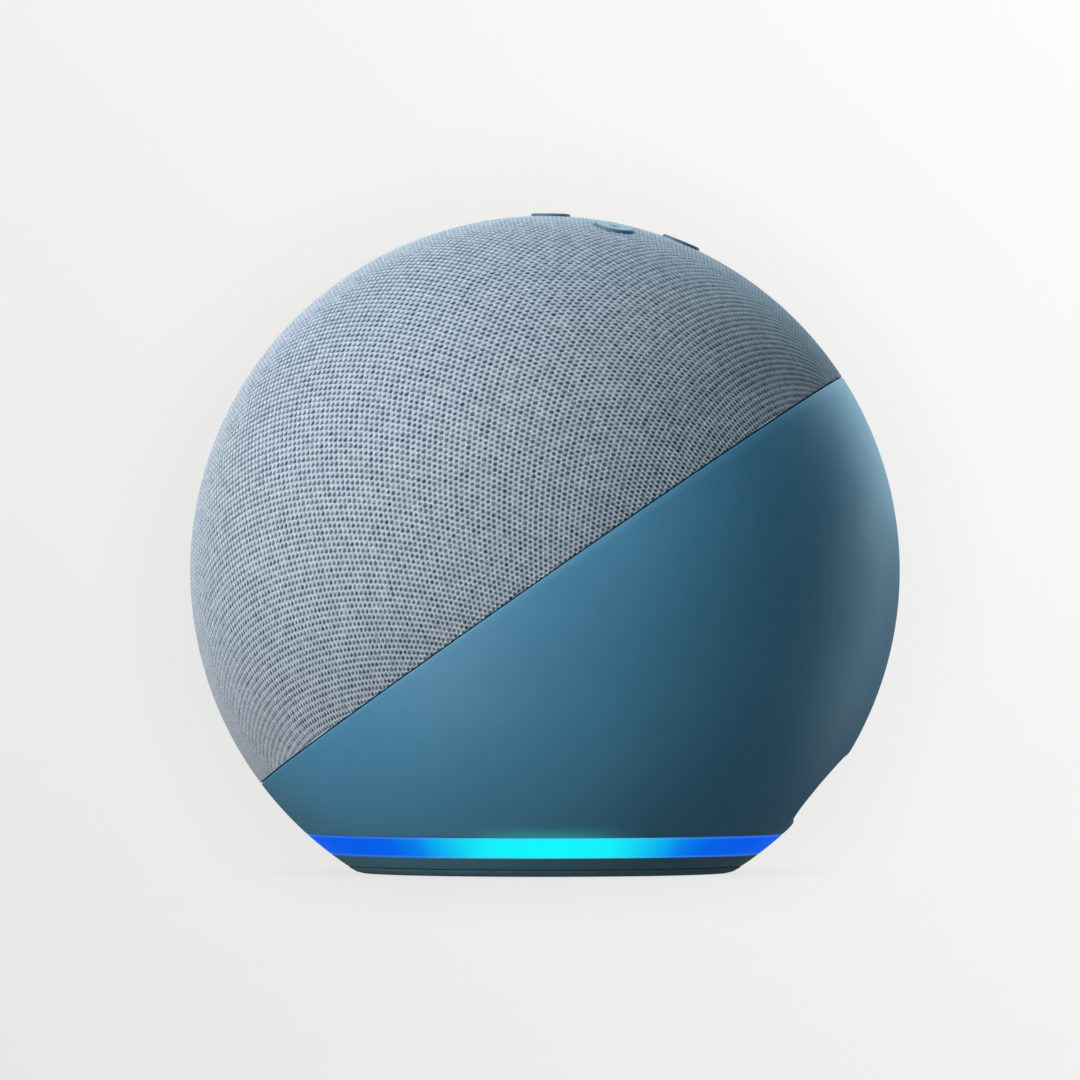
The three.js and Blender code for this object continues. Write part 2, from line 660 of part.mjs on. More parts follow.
for (const [side, x] of [['left', -TWEETER_X], ['right', TWEETER_X]]) {
  add(drivers, `${side}_tweeter_frame`, tweeterFrame(), innerPlastic, [x, 0, 0]);
  add(drivers, `${side}_tweeter_dome`, tweeterDome(), flexFilm, [x, 0, 0]);
  add(drivers, `${side}_tweeter_magnet`, disc(9.6, -11, -1.3), ferrite, [x, 0, 0]);
}

// ---------------------------------------------------------------- main board and heat spreader
function heatSpreader() {
  const low = -41.8;
  const width = 60;
  const depth = 56;
  const plate = solid(block(width, depth, low, TUB_FLOOR - GAP));
  const fins = [-27, -18, 18, 27].map((x) => block(2, depth, low - 1.5, low + 1).translate(x, 0, 0));
  return join(plate, fins);
}

// Two shields on the spreader's side, and an inductor and two capacitors on the other.
function mainBoard() {
  const board = solid(block(56, 52, MAIN_BOARD_LOW, MAIN_BOARD_TOP));
  const rooted = 0.5;
  const shield = (width, depth, top) => block(width, depth, MAIN_BOARD_TOP - rooted, top);
  const inductor = block(12, 12, MAIN_BOARD_LOW - 3.2, MAIN_BOARD_LOW + rooted);
  const capacitor = disc(4, MAIN_BOARD_LOW - 3.7, MAIN_BOARD_LOW + rooted, SCREW_SIDES);
  return join(board, [
    shield(24, 24, -42.2).translate(0, -8, 0),
    shield(16, 14, -42.8).translate(4, 16, 0),
    inductor.translate(-16, 8, 0),
    capacitor.clone().translate(8, 6, 0),
    capacitor.clone().translate(18, 6, 0),
  ]);
}

add(drivers, 'heat_spreader', heatSpreader(), aluminium, [0, MAIN_BOARD_SHIFT, 0]);
add(drivers, 'main_board', mainBoard(), circuitBoard, [0, MAIN_BOARD_SHIFT, 0]);

// ---------------------------------------------------------------- sockets
function jackBody(width, bore, depth) {
  const low = IO_TOP + GAP;
  const front = 11.7;
  const body = solid(block(width, front, low, 2 * JACK_HEIGHT - low).translate(0, JACK_FACE - front / 2, 0));
  const hole = disc(bore, JACK_FACE - depth, JACK_FACE + 1)
    .rotateX(-Math.PI / 2).translate(0, 0, JACK_HEIGHT);
  return cut(body, [hole]);
}

function powerJack() {
  const depth = 9;
  const pinRadius = 0.9;
  const pin = disc(pinRadius, JACK_FACE - depth - 1, JACK_FACE - 1.2, SCREW_SIDES)
    .rotateX(-Math.PI / 2).translate(0, 0, JACK_HEIGHT);
  return join(jackBody(9, 3.1, depth), [pin]);
}

add(speaker, 'io_board', block(27, 17, IO_LOW, IO_TOP), circuitBoard, [0, 36, 0]);
add(speaker, 'power_jack', powerJack(), innerPlastic, [POWER_X, 0, 0]);
add(speaker, 'audio_jack', jackBody(7.6, 1.8, 10), innerPlastic, [AUDIO_X, 0, 0]);

// ---------------------------------------------------------------- cables held inside
// The ribbon leaves the control board's rear edge and follows the shell down to the main board.
function controlRibbon() {
  const strip = new THREE.Shape([[-4, -0.2], [4, -0.2], [4, 0.2], [-4, 0.2]].map(([x, y]) => (
    new THREE.Vector2(x, y)
  )));
  return swept(strip, [
    [0, 28.5, 52.6], [0, 34, 51], [0, 44, 44], [0, 53, 33], [0, 59, 18], [0, 61, 2], [0, 58, -14],
    [0, 53.8, -20.6],
  ], 18);
}

function lead(points) {
  return swept(roundSection(1, 6), points, 12);
}

add(ball, 'control_ribbon', controlRibbon(), flexFilm);
add(drivers, 'woofer_lead', lead([
  [28.6, 0, -46], [35, 0, -44], [42, 0, -36], [47, 0, -24], [45.5, 0, -15.5], [41, 0, -14],
  [37, 0, -12.5], [35.4, 0, -10],
]), cableJacket);
for (const [side, sign] of [['left', -1], ['right', 1]]) {
  add(drivers, `${side}_tweeter_lead`, lead([
    [sign * 28.6, 14, -46], [sign * 36, 14, -44], [sign * 46, 12, -36], [sign * 53, 7, -25],
    [sign * TWEETER_X, 2, -17], [sign * TWEETER_X, 0, -11.7],
  ]), cableJacket);
}

export default speaker;
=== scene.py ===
"""Looks of a ball-shaped smart speaker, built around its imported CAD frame. Metres, +Z up, front is -Y."""

import json
import math

import bmesh
import bpy
import numpy as np
from mathutils import Matrix, Vector
from mathutils.geometry import delaunay_2d_cdt


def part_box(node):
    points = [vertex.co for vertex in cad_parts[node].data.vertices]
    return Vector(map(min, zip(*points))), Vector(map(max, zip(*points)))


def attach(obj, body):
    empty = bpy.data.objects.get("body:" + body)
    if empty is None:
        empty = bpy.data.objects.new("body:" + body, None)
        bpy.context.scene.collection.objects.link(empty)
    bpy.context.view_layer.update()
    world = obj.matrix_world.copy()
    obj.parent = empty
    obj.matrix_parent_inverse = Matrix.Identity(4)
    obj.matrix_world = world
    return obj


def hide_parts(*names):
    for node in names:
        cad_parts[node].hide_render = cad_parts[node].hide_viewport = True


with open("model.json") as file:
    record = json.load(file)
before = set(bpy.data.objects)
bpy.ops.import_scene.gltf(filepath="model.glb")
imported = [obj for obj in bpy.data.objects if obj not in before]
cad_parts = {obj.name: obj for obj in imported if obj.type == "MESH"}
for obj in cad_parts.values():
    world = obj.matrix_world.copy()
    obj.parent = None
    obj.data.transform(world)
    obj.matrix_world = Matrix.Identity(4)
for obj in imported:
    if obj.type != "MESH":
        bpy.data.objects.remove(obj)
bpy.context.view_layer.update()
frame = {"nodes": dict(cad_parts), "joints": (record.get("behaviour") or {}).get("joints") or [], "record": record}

MM = 0.001
HOUSING = "housing"

# ---------------------------------------------------------------- places and sizes taken from the frame
press_axes = {joint["child"]: Vector(joint["axis"]) for joint in frame["joints"] if "press" in joint["name"]}
stroke_axis = next(Vector(joint["axis"]) for joint in frame["joints"] if joint["name"] == "woofer_stroke")
fabric_low, fabric_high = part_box("fabric_cover")
shell_low, shell_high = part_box("rear_housing")
ring_low, ring_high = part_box("light_ring")
plate_low, plate_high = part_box("base_plate")
_, foot_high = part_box("rubber_foot")
insert_low, insert_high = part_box("thread_insert")
power_low, power_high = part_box("power_jack")
audio_low, audio_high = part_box("audio_jack")
opening = {item["name"]: item["box_m"] for item in frame["record"]["physics"]["openings"]}

PLATE_RIM = ring_low.z - 0.3 * MM
PAD_TOP = ring_high.z
BASE_SCREW_ANGLES = (-90, 10, 170)
BASE_SCREW_CIRCLE = 31.5 * MM  # the three base screws stand on this radius, at the angles above
LIT_SIDE = math.radians(3.2)   # where the ring is brightest, from +X towards the rear

BALL = (fabric_high.x - fabric_low.x) / 2
CENTRE = Vector((0, 0, ring_high.z + math.sqrt(BALL**2 - ring_high.x**2)))
DRIVER = stroke_axis.normalized()
ACROSS = Vector((1, 0, 0))
BEHIND = DRIVER.cross(ACROSS).normalized()
TILT = math.atan2(-DRIVER.y, DRIVER.z)
FABRIC_EDGE = math.acos((fabric_low.z - CENTRE.z) / BALL) - TILT
SHELL_EDGE = math.acos((shell_high.z - CENTRE.z) / BALL) + TILT


def ball_radius_at(height, radius=BALL):
    return math.sqrt(radius**2 - (CENTRE.z - height) ** 2)


# ---------------------------------------------------------------- mesh helpers
def outward_mesh(name, points, faces):
    """A mesh whose faces all look outwards."""
    mesh = bpy.data.meshes.new(name)
    mesh.from_pydata([tuple(point) for point in points], [], [tuple(face) for face in faces])
    edited = bmesh.new()
    edited.from_mesh(mesh)
    bmesh.ops.recalc_face_normals(edited, faces=edited.faces)
    edited.to_mesh(mesh)
    edited.free()
    return mesh


def add_piece(name, points, faces, material, slot, body=HOUSING, sharp=35.0):
    """A smooth-shaded object that rides on a CAD body. Edges bent more than sharp degrees stay crisp."""
    mesh = outward_mesh(name, points, faces)
    mesh.materials.append(material)
    mesh.shade_smooth()
    mesh.set_sharp_from_angle(angle=math.radians(sharp))
    shape = bpy.data.objects.new(name, mesh)
    bpy.context.scene.collection.objects.link(shape)
    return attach(shape, body)


def joined(*parts):
    """Several (points, faces) shapes as one."""
    points, faces, start = [], [], 0
    for part_points, part_faces in parts:
        points.extend(part_points)
        faces.extend(tuple(start + i for i in face) for face in part_faces)
        start += len(part_points)
    return points, faces


def curve(start, bend, end, t):
    """A place part of the way along a short curve from start to end, drawn towards bend."""
    return start * (1 - t) ** 2 + bend * 2 * t * (1 - t) + end * t**2


def softened(outline, radius, steps=3):
    """A closed 2D outline with its corners rounded by short curves."""
    smooth = []
    for i, corner in enumerate(outline):
        here = Vector(corner)
        before, after = Vector(outline[i - 1]), Vector(outline[(i + 1) % len(outline)])
        reach = min(radius, (before - here).length * 0.45, (after - here).length * 0.45)
        start = here + (before - here).normalized() * reach
        end = here + (after - here).normalized() * reach
        smooth.extend(curve(start, here, end, k / steps) for k in range(steps + 1))
    return smooth


def turned(profile, sides, place=Matrix()):
    """A (radius, height) profile turned about Z. It starts and ends on the axis, or closes on itself."""
    rows, points, faces = [], [], []
    for radius, height in profile:
        if radius < 1e-9:
            rows.append([len(points)] * sides)
            points.append(place @ Vector((0, 0, height)))
            continue
        rows.append(list(range(len(points), len(points) + sides)))
        for k in range(sides):
            angle = 2 * math.pi * k / sides
            points.append(place @ Vector((radius * math.cos(angle), radius * math.sin(angle), height)))
    pairs = list(zip(rows, rows[1:]))
    if profile[0][0] > 1e-9:
        pairs.append((rows[-1], rows[0]))
    for low, high in pairs:
        for k in range(sides):
            after = (k + 1) % sides
            face = dict.fromkeys((low[k], low[after], high[after], high[k]))
            if len(face) > 2:
                faces.append(tuple(face))
    return points, faces


def upright(axis):
    """A place whose Z runs along an axis from the ball's centre, with Y kept towards the rear."""
    z = axis.normalized()
    x = Vector((0, 1, 0)).cross(z).normalized()
    y = z.cross(x)
    return Matrix.Translation(CENTRE) @ Matrix((x, y, z)).transposed().to_4x4()


def clipped(points, triangles, value, onto, snap=0.1 * MM):
    """The part of a triangle mesh where value is positive, cut clean along its zero line.

    onto moves points exactly onto that line, and takes in points closer to it than snap."""
    points = points.copy()
    level = value(points)
    near = np.abs(level) < snap
    points[near] = onto(points[near])
    level[near] = 0
    kept = level >= 0
    count = kept[triangles].sum(1)
    total = len(points)
    mixed = triangles[(count > 0) & (count < 3)]
    sides = np.concatenate([mixed[:, [0, 1]], mixed[:, [1, 2]], mixed[:, [2, 0]]])
    sides = sides[kept[sides[:, 0]] != kept[sides[:, 1]]]
    inner = np.where(kept[sides[:, 0]], sides[:, 0], sides[:, 1])
    outer = np.where(kept[sides[:, 0]], sides[:, 1], sides[:, 0])
    codes = np.unique((inner * total + outer)[level[inner] > 0])
    from_inside, from_outside = codes // total, codes % total
    share = (level[from_inside] / (level[from_inside] - level[from_outside]))[:, None]
    fresh = onto(points[from_inside] * (1 - share) + points[from_outside] * share)

    def crossing(inside, outside):
        made = total + np.searchsorted(codes, inside * total + outside)
        return np.where(level[inside] > 0, made, inside)

    def lone_first(chosen, is_kept):
        alone = (kept[chosen] == is_kept).argmax(1)
        return np.take_along_axis(chosen, (alone[:, None] + np.arange(3)) % 3, 1).T

    a, b, c = lone_first(triangles[count == 1], True)
    one = np.stack([a, crossing(a, b), crossing(a, c)], 1)
    c, a, b = lone_first(triangles[count == 2], False)
    two = np.stack([a, b, crossing(b, c)], 1)
    three = np.stack([a, crossing(b, c), crossing(a, c)], 1)
    whole = triangles[(count == 3) & (level[triangles].max(1) > 0)]
    faces = np.concatenate([whole, one, two, three])
    distinct = (faces[:, 0] != faces[:, 1]) & (faces[:, 1] != faces[:, 2]) & (faces[:, 2] != faces[:, 0])
    faces = faces[distinct]
    used, faces = np.unique(faces, return_inverse=True)
    return np.concatenate([points, fresh])[used], faces.reshape(-1, 3)


def open_loops(triangles):
    """The open edges of a triangle mesh, as loops of point numbers in the order that the faces run."""
    edges = np.concatenate([triangles[:, [0, 1]], triangles[:, [1, 2]], triangles[:, [2, 0]]])
    scale = triangles.max() + 1
    lonely = ~np.isin(edges[:, 0] * scale + edges[:, 1], edges[:, 1] * scale + edges[:, 0])
    following = dict(edges[lonely].tolist())
    loops = []
    while following:
        start, here = following.popitem()
        loop = [start]
        while here != start:
            loop.append(here)
            here = following.pop(here)
        loops.append(loop)
    return loops


class Skin:
    """A mesh that grows by rings of points, each joined to the last."""

    def __init__(self, points, faces):
        self.points = [Vector(point) for point in points]
        self.faces = [tuple(face) for face in faces]

    def free_ring(self, places):
        """Adds a ring of places that nothing is joined to yet, and returns its loop."""
        start = len(self.points)
        self.points.extend(Vector(place) for place in places)
        return list(range(start, len(self.points)))

    def ring(self, loop, places):
        """Joins a loop to a new ring of places, and returns the new loop."""
        fresh = self.free_ring(places)
        self.bridge(loop, fresh)
        return fresh

    def bridge(self, loop, other):
        for i in range(len(loop)):
            k = (i + 1) % len(loop)
            self.faces.append((loop[k], loop[i], other[i], other[k]))

    def fill(self, loops, flat, extra=()):
        """Fills the area between loops with triangles, worked out on the flat.

        extra holds (flat place, real place) pairs that are added in between."""
        numbers = [i for loop in loops for i in loop]
        places = [Vector(flat(self.points[i])) for i in numbers]
        edges, start = [], 0
        for loop in loops:
            edges.extend((start + i, start + (i + 1) % len(loop)) for i in range(len(loop)))
            start += len(loop)
        ends = np.array([[*places[a], *places[b]] for a, b in edges])
        for flat_place, real in extra:
            numbers.append(len(self.points))
            self.points.append(Vector(real))
            places.append(Vector(flat_place))
        made, _, faces, origins, _, _ = delaunay_2d_cdt(places, edges, [], 0, 1e-9)
        for face in faces:
            middle = sum((made[i] for i in face), Vector((0, 0))) / len(face)
            if enclosed(middle, ends):
                self.faces.append(tuple(numbers[origins[i][0]] for i in face))


def enclosed(place, ends):
    """Whether a flat place lies inside an outline given by the two ends of each of its edges."""
    x1, y1, x2, y2 = ends.T
    spans = (y1 > place[1]) != (y2 > place[1])
    x1, y1, x2, y2 = x1[spans], y1[spans], x2[spans], y2[spans]
    crossings = x1 + (place[1] - y1) * (x2 - x1) / (y2 - y1)
    return np.count_nonzero(crossings > place[0]) % 2 == 1


# ---------------------------------------------------------------- material helpers
def linear(red, green, blue):
    """A colour given in 0 to 255 display values, as the shader wants it."""
    display = [value / 255 for value in (red, green, blue)]
    return tuple(c / 12.92 if c <= 0.04045 else ((c + 0.055) / 1.055) ** 2.4 for c in display) + (1.0,)


class Nodes:
    """A node tree, with short calls that add nodes and give their outputs."""

    def __init__(self, tree):
        self.tree = tree

    def plug(self, socket, value):
        if isinstance(value, bpy.types.NodeSocket):
            self.tree.links.new(value, socket)
        elif value is not None:
            socket.default_value = value

    def node(self, kind, values=(), **settings):
        made = self.tree.nodes.new(kind)
        for key, value in settings.items():
            setattr(made, key, value)
        for socket, value in dict(values).items():
            self.plug(made.inputs[socket], value)
        return made

    def maths(self, operation, first, second=None, third=None):
        made = self.node("ShaderNodeMath", {0: first, 1: second, 2: third}, operation=operation)
        return made.outputs[0]

    def place(self):
        return self.node("ShaderNodeTexCoord").outputs["Object"]

    def dot(self, vector, way):
        values = {0: vector, 1: tuple(way)}
        return self.node("ShaderNodeVectorMath", values, operation="DOT_PRODUCT").outputs["Value"]

    def split(self, vector):
        return self.node("ShaderNodeSeparateXYZ", {0: vector}).outputs

    def noise(self, size, detail=2.0, vector=None, roughness=0.5):
        """Noise whose largest features are about size metres across."""
        vector = vector or self.place()
        values = {"Vector": vector, "Scale": 1 / size, "Detail": detail, "Roughness": roughness}
        return self.node("ShaderNodeTexNoise", values).outputs[0]

    def grained(self, size, detail, low, high):
        """Noise spread over a range."""
        return self.span(self.noise(size, detail), 0.3, 0.7, low, high)

    def stretch(self, vector, scale):
        return self.node("ShaderNodeMapping", {"Vector": vector, "Scale": scale}).outputs[0]

    def span(self, value, low, high, to_low=0.0, to_high=1.0, smooth=False):
        """Takes a value from one range to another, and holds it at the ends."""
        values = {"Value": value, "From Min": low, "From Max": high, "To Min": to_low, "To Max": to_high}
        kind = "SMOOTHSTEP" if smooth else "LINEAR"
        return self.node("ShaderNodeMapRange", values, interpolation_type=kind).outputs[0]

    def blend(self, factor, first, second):
        made = self.node("ShaderNodeMix", data_type="RGBA")
        self.plug(made.inputs[0], factor)
        self.plug(made.inputs[6], first)
        self.plug(made.inputs[7], second)
        return made.outputs[2]

    def emission(self, colour):
        return self.node("ShaderNodeEmission", {"Color": colour}).outputs[0]

    def shaders(self, factor, first, second):
        return self.node("ShaderNodeMixShader", {0: factor, 1: first, 2: second}).outputs[0]

    def ramp(self, value, stops):
        made = self.node("ShaderNodeValToRGB", {0: value})
        points = made.color_ramp.elements
        while len(points) < len(stops):
            points.new(0.5)
        for point, (position, colour) in zip(points, stops):
            point.position = position
            point.color = colour
        return made.outputs[0]


class Finish(Nodes):
    """A material built on one principled shader."""

    def __init__(self, name, colour, roughness, metallic=0.0, **constants):
        self.material = bpy.data.materials.new(name)
        self.material.use_nodes = True
        super().__init__(self.material.node_tree)
        self.shader = self.tree.nodes["Principled BSDF"]
        self.set("Base Color", colour)
        self.set("Roughness", roughness)
        self.set("Metallic", metallic)
        for socket, value in constants.items():
            self.set(socket.replace("_", " "), value)

    def set(self, socket, value):
        self.plug(self.shader.inputs[socket], value)

    def bump(self, height, depth, strength=1.0):
        """A bump whose full height range stands for depth metres."""
        values = {"Height": height, "Distance": depth, "Strength": strength}
        self.set("Normal", self.node("ShaderNodeBump", values).outputs[0])


def toned(colour, factor):
    """A colour made darker or lighter."""
    return tuple(c * factor for c in colour[:3]) + (1.0,)


def moulded(name, colour, roughness, grain=0.25 * MM, depth=0.006 * MM, **constants):
    """Moulded plastic: a fine spark-eroded grain, with slow drifts in tone and gloss."""
    made = Finish(name, colour, roughness, **constants)
    drift = made.grained(30 * MM, 3.0, 0.0, 1.0)
    made.set("Base Color", made.blend(drift, toned(colour, 0.95), toned(colour, 1.05)))
    fine = made.noise(grain, 3.0)
    patch = made.noise(9 * MM, 2.0)
    gloss = made.maths("MULTIPLY_ADD", made.maths("ADD", fine, patch), 0.10, roughness - 0.10)
    made.set("Roughness", gloss)
    made.bump(fine, depth)
    return made


# ---------------------------------------------------------------- knit cover
COURSES = 40.7                 # stitch phases per radian towards the rear, as the cloth lies over the ball
WALES = 32.2                   # the same, sideways
EASE = 0.0284                  # how much more the cloth is drawn in sideways, away from the driver axis
HOLE_ALONG = 0.50 * MM         # half a stitch hole's length
HOLE_SIDEWAYS = 0.38 * MM
STITCH_DEPTH = 0.42 * MM
THREAD_DIP = 0.07 * MM
CLOTH_THICKNESS = 0.9 * MM
FILL_SPACING = 3.2 * MM        # between the points on the cloth's smooth inner side
FILL_MARGIN = 1.2 * MM


def stitch_phases(directions):
    """The two stitch phases, whole numbers at each hole, for unit directions from the ball's centre."""
    theta = np.arccos(np.clip(directions @ np.array(DRIVER), -1, 1))
    phi = np.arctan2(directions @ np.array(ACROSS), directions @ np.array(BEHIND))
    u = theta * np.cos(phi)
    v = theta * np.sin(phi) * (1 + EASE * theta**2)
    return WALES * v + COURSES * u, WALES * v - COURSES * u


def stitch_directions(first, second):
    """The unit directions at which the two stitch phases have the given values."""
    u = (first - second) / (2 * COURSES)
    v = (first + second) / (2 * WALES)
    theta = np.hypot(u, v)
    for _ in range(12):
        theta = np.hypot(u, v / (1 + EASE * theta**2))
    phi = np.arctan2(v / (1 + EASE * theta**2), u)
    sideways = np.sin(theta)[:, None]
    around = np.cos(phi)[:, None] * np.array(BEHIND) + np.sin(phi)[:, None] * np.array(ACROSS)
    return np.cos(theta)[:, None] * np.array(DRIVER) + sideways * around, theta


def cloth_grid():
    """Points and triangles of the stitched surface, to a little past the seam, about the ball's centre."""
    reach = int(2 * (WALES * FABRIC_EDGE * 1.1 + COURSES * FABRIC_EDGE) * 0.78)
    halves = np.arange(-reach, reach + 1)
    first, second = np.meshgrid(halves, halves, indexing="ij")
    directions, theta = stitch_directions(first.ravel() / 2, second.ravel() / 2)
    hole = ((first % 2 == 0) & (second % 2 == 0)).ravel()
    side = ((first % 2) != (second % 2)).ravel()
    depth = np.where(hole, STITCH_DEPTH, np.where(side, THREAD_DIP, 0.0))
    points = directions * (BALL - depth)[:, None]

    number = np.arange(first.size).reshape(first.shape)
    near_edge = theta.reshape(first.shape) < FABRIC_EDGE + 2.5 / COURSES
    cells = near_edge[:-1, :-1] & near_edge[1:, :-1] & near_edge[:-1, 1:] & near_edge[1:, 1:]
    a, b = number[:-1, :-1][cells], number[1:, :-1][cells]
    c, d = number[1:, 1:][cells], number[:-1, 1:][cells]
    even = ((first[:-1, :-1] + second[:-1, :-1]) % 2 == 0)[cells]
    # The diagonal of each quarter cell runs from its hole to its thread crossing.
    straight = np.concatenate([np.stack([a, b, c], 1)[even], np.stack([a, c, d], 1)[even]])
    slanted = np.concatenate([np.stack([a, b, d], 1)[~even], np.stack([b, c, d], 1)[~even]])
    return points, np.concatenate([straight, slanted])


BUTTON_LIFT = {name: -axis for name, axis in press_axes.items()}
flange_low, flange_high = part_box("action_button")
# A button's flange stands out by a quarter of its cap's radius.
CAP = (flange_high.x - flange_low.x) / 2 * 4 / 5
HOLE = CAP + 0.16 * MM


def away_from(axis, radius):
    """How far points stand outside a round hole about an axis, and the move onto its wall."""
    along = np.array(axis.normalized())

    def value(points):
        across = points - np.outer(points @ along, along)
        gap = np.linalg.norm(across, axis=1) - radius
        return np.where(points @ along > 0, gap, 1.0)

    def onto(points):
        height = points @ along
        across = points - np.outer(height, along)
        size = np.linalg.norm(points, axis=1)
        across *= (radius / np.linalg.norm(across, axis=1))[:, None]
        return across + np.outer(np.sqrt(size**2 - radius**2), along)

    return value, onto


def within_seam(edge):
    """How far points stand inside the seam, and the move onto it."""
    along = np.array(DRIVER)

    def value(points):
        size = np.linalg.norm(points, axis=1)
        return BALL * (edge - np.arccos(np.clip(points @ along / size, -1, 1)))

    def onto(points):
        size = np.linalg.norm(points, axis=1)[:, None]
        across = points - np.outer(points @ along, along)
        across /= np.linalg.norm(across, axis=1)[:, None]
        return size * (math.cos(edge) * along + math.sin(edge) * across)

    return value, onto


def knit_cover(material):
    points, triangles = cloth_grid()
    points, triangles = clipped(points, triangles, *within_seam(FABRIC_EDGE))
    for axis in BUTTON_LIFT.values():
        points, triangles = clipped(points, triangles, *away_from(axis, HOLE))
    skin = Skin(points, triangles.tolist())
    inner = []
    for loop in open_loops(triangles):
        edge = [skin.points[i].normalized() for i in loop]
        turned_in = skin.ring(loop, [way * (BALL - CLOTH_THICKNESS / 2) for way in edge])
        inner.append(skin.ring(turned_in, [way * (BALL - CLOTH_THICKNESS) for way in edge]))

    def flat(point):
        way = point.normalized()
        theta = math.acos(max(-1.0, min(1.0, way.dot(DRIVER))))
        phi = math.atan2(way.dot(ACROSS), way.dot(BEHIND))
        return theta * math.cos(phi), theta * math.sin(phi)

    def unflat(place):
        theta, phi = math.hypot(*place), math.atan2(place[1], place[0])
        way = BEHIND * math.cos(phi) + ACROSS * math.sin(phi)
        return (DRIVER * math.cos(theta) + way * math.sin(theta)) * (BALL - CLOTH_THICKNESS)

    def covered(place):
        way = unflat(place).normalized()
        clear = all(BALL * way.angle(axis) > HOLE + FILL_MARGIN for axis in BUTTON_LIFT.values())
        return clear and math.hypot(*place) < FABRIC_EDGE - FILL_MARGIN / BALL

    spacing = FILL_SPACING / BALL
    count = int(FABRIC_EDGE / spacing)
    extra = []
    for i in range(-count, count + 1):
        for k in range(-count, count + 1):
            place = ((i + 0.5 * (k % 2)) * spacing, k * spacing)
            if covered(place):
                extra.append((place, unflat(place)))
    skin.fill(inner, flat, extra)
    places = [CENTRE + point for point in skin.points]
    cover = add_piece("knit_cover", places, skin.faces, material, "fabric_knit", sharp=75.0)
    ways = np.array([point.normalized() for point in skin.points])
    first, second = stitch_phases(ways)
    phases = np.stack([first, second, np.zeros_like(first)], 1)
    stored = cover.data.attributes.new("knit", "FLOAT_VECTOR", "POINT")
    stored.data.foreach_set("vector", phases.astype(np.float32).ravel())
    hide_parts("fabric_cover")
    return cover


def knit_material():
    thread = linear(230, 238, 250)
    # A darker yarn tone, which below also gives the painted shade at the holes' rims.
    shade = linear(147, 167, 186)
    # The dark in the stitch holes is the grille's own dark plastic seen through them, deepened with painted shade.
    pit = linear(36, 54, 74)
    made = Finish(
        "knit", thread, 0.92, Sheen_Weight=0.2, Sheen_Roughness=0.45, Sheen_Tint=linear(206, 225, 240),
        Specular_IOR_Level=0.2,
    )
    phases = made.split(made.node("ShaderNodeAttribute", attribute_name="knit").outputs["Vector"])
    whole_first, whole_second = made.maths("ROUND", phases[0]), made.maths("ROUND", phases[1])
    off_first = made.maths("SUBTRACT", phases[0], whole_first)
    off_second = made.maths("SUBTRACT", phases[1], whole_second)
    along_yarn = made.maths("SUBTRACT", off_first, off_second)
    sideways = made.maths("ADD", off_first, off_second)
    # How far a place lies from its hole's middle, in half lengths and half widths of a hole.
    length = made.maths("MULTIPLY", along_yarn, BALL / (2 * COURSES) / HOLE_ALONG)
    width = made.maths("MULTIPLY", sideways, BALL / (2 * WALES) / HOLE_SIDEWAYS)
    spread = made.maths("ADD", made.maths("MULTIPLY", length, length), made.maths("MULTIPLY", width, width))
    reach = made.maths("SQRT", spread)

    # Each stitch differs a little from its neighbours, and fine fibres stand off the yarn.
    stitch = made.node("ShaderNodeCombineXYZ", {0: whole_first, 1: whole_second}).outputs[0]
    chance = made.split(made.node("ShaderNodeTexWhiteNoise", {"Vector": stitch}).outputs["Color"])
    place = made.place()
    fibre = made.noise(0.15 * MM, 3.0, made.stretch(place, (1.0, 1.0, 2.2)), 0.7)
    hair = made.noise(0.45 * MM, 4.0, place, 0.8)
    uneven = made.maths("MULTIPLY_ADD", chance[0], 0.36, -0.18)
    frayed = made.maths("ADD", made.maths("MULTIPLY_ADD", hair, 1.1, -0.55), uneven)
    reach = made.maths("ADD", reach, frayed)

    yarn = made.blend(made.span(fibre, 0.3, 0.72), shade, thread)
    yarn = made.blend(made.span(chance[1], 0.0, 1.0, 0.0, 0.16), yarn, toned(shade, 0.9))
    yarn = made.blend(made.grained(24 * MM, 2.0, 0.0, 0.08), yarn, toned(shade, 0.8))
    # The yarn is painted darker at each hole's rim, a painted shade, and its crowns get near-white specks along
    # the fibres, a painted highlight.
    lit_crown = made.span(reach, 1.15, 1.95, 0.0, 1.0, smooth=True)
    body = made.blend(lit_crown, toned(shade, 0.95), yarn)
    body = made.blend(made.maths("MULTIPLY", lit_crown, made.span(hair, 0.5, 0.75)), body, linear(242, 248, 252))
    # Each hole is painted dark for what shows through it: partly the grille's own colour, partly painted shade.
    hollow = made.blend(made.span(chance[2], 0.0, 1.0, 0.0, 0.2), pit, shade)
    colour = made.blend(made.span(reach, 0.60, 1.22, 0.0, 1.0, smooth=True), hollow, body)
    for turn in ((1.0, 0.35, 1.0), (0.4, 1.0, 0.3)):
        strand = made.noise(0.9 * MM, 2.0, made.stretch(place, turn), 0.6)
        line = made.maths("ABSOLUTE", made.maths("SUBTRACT", strand, 0.5))
        colour = made.blend(made.span(line, 0.004, 0.016, 0.32, 0.0), colour, linear(232, 241, 248))
    made.set("Base Color", colour)
    height = made.span(reach, 0.6, 1.9, 0.0, 1.0, smooth=True)
    made.bump(made.maths("MULTIPLY_ADD", hair, 0.5, height), 0.16 * MM, 0.8)
    return made.material


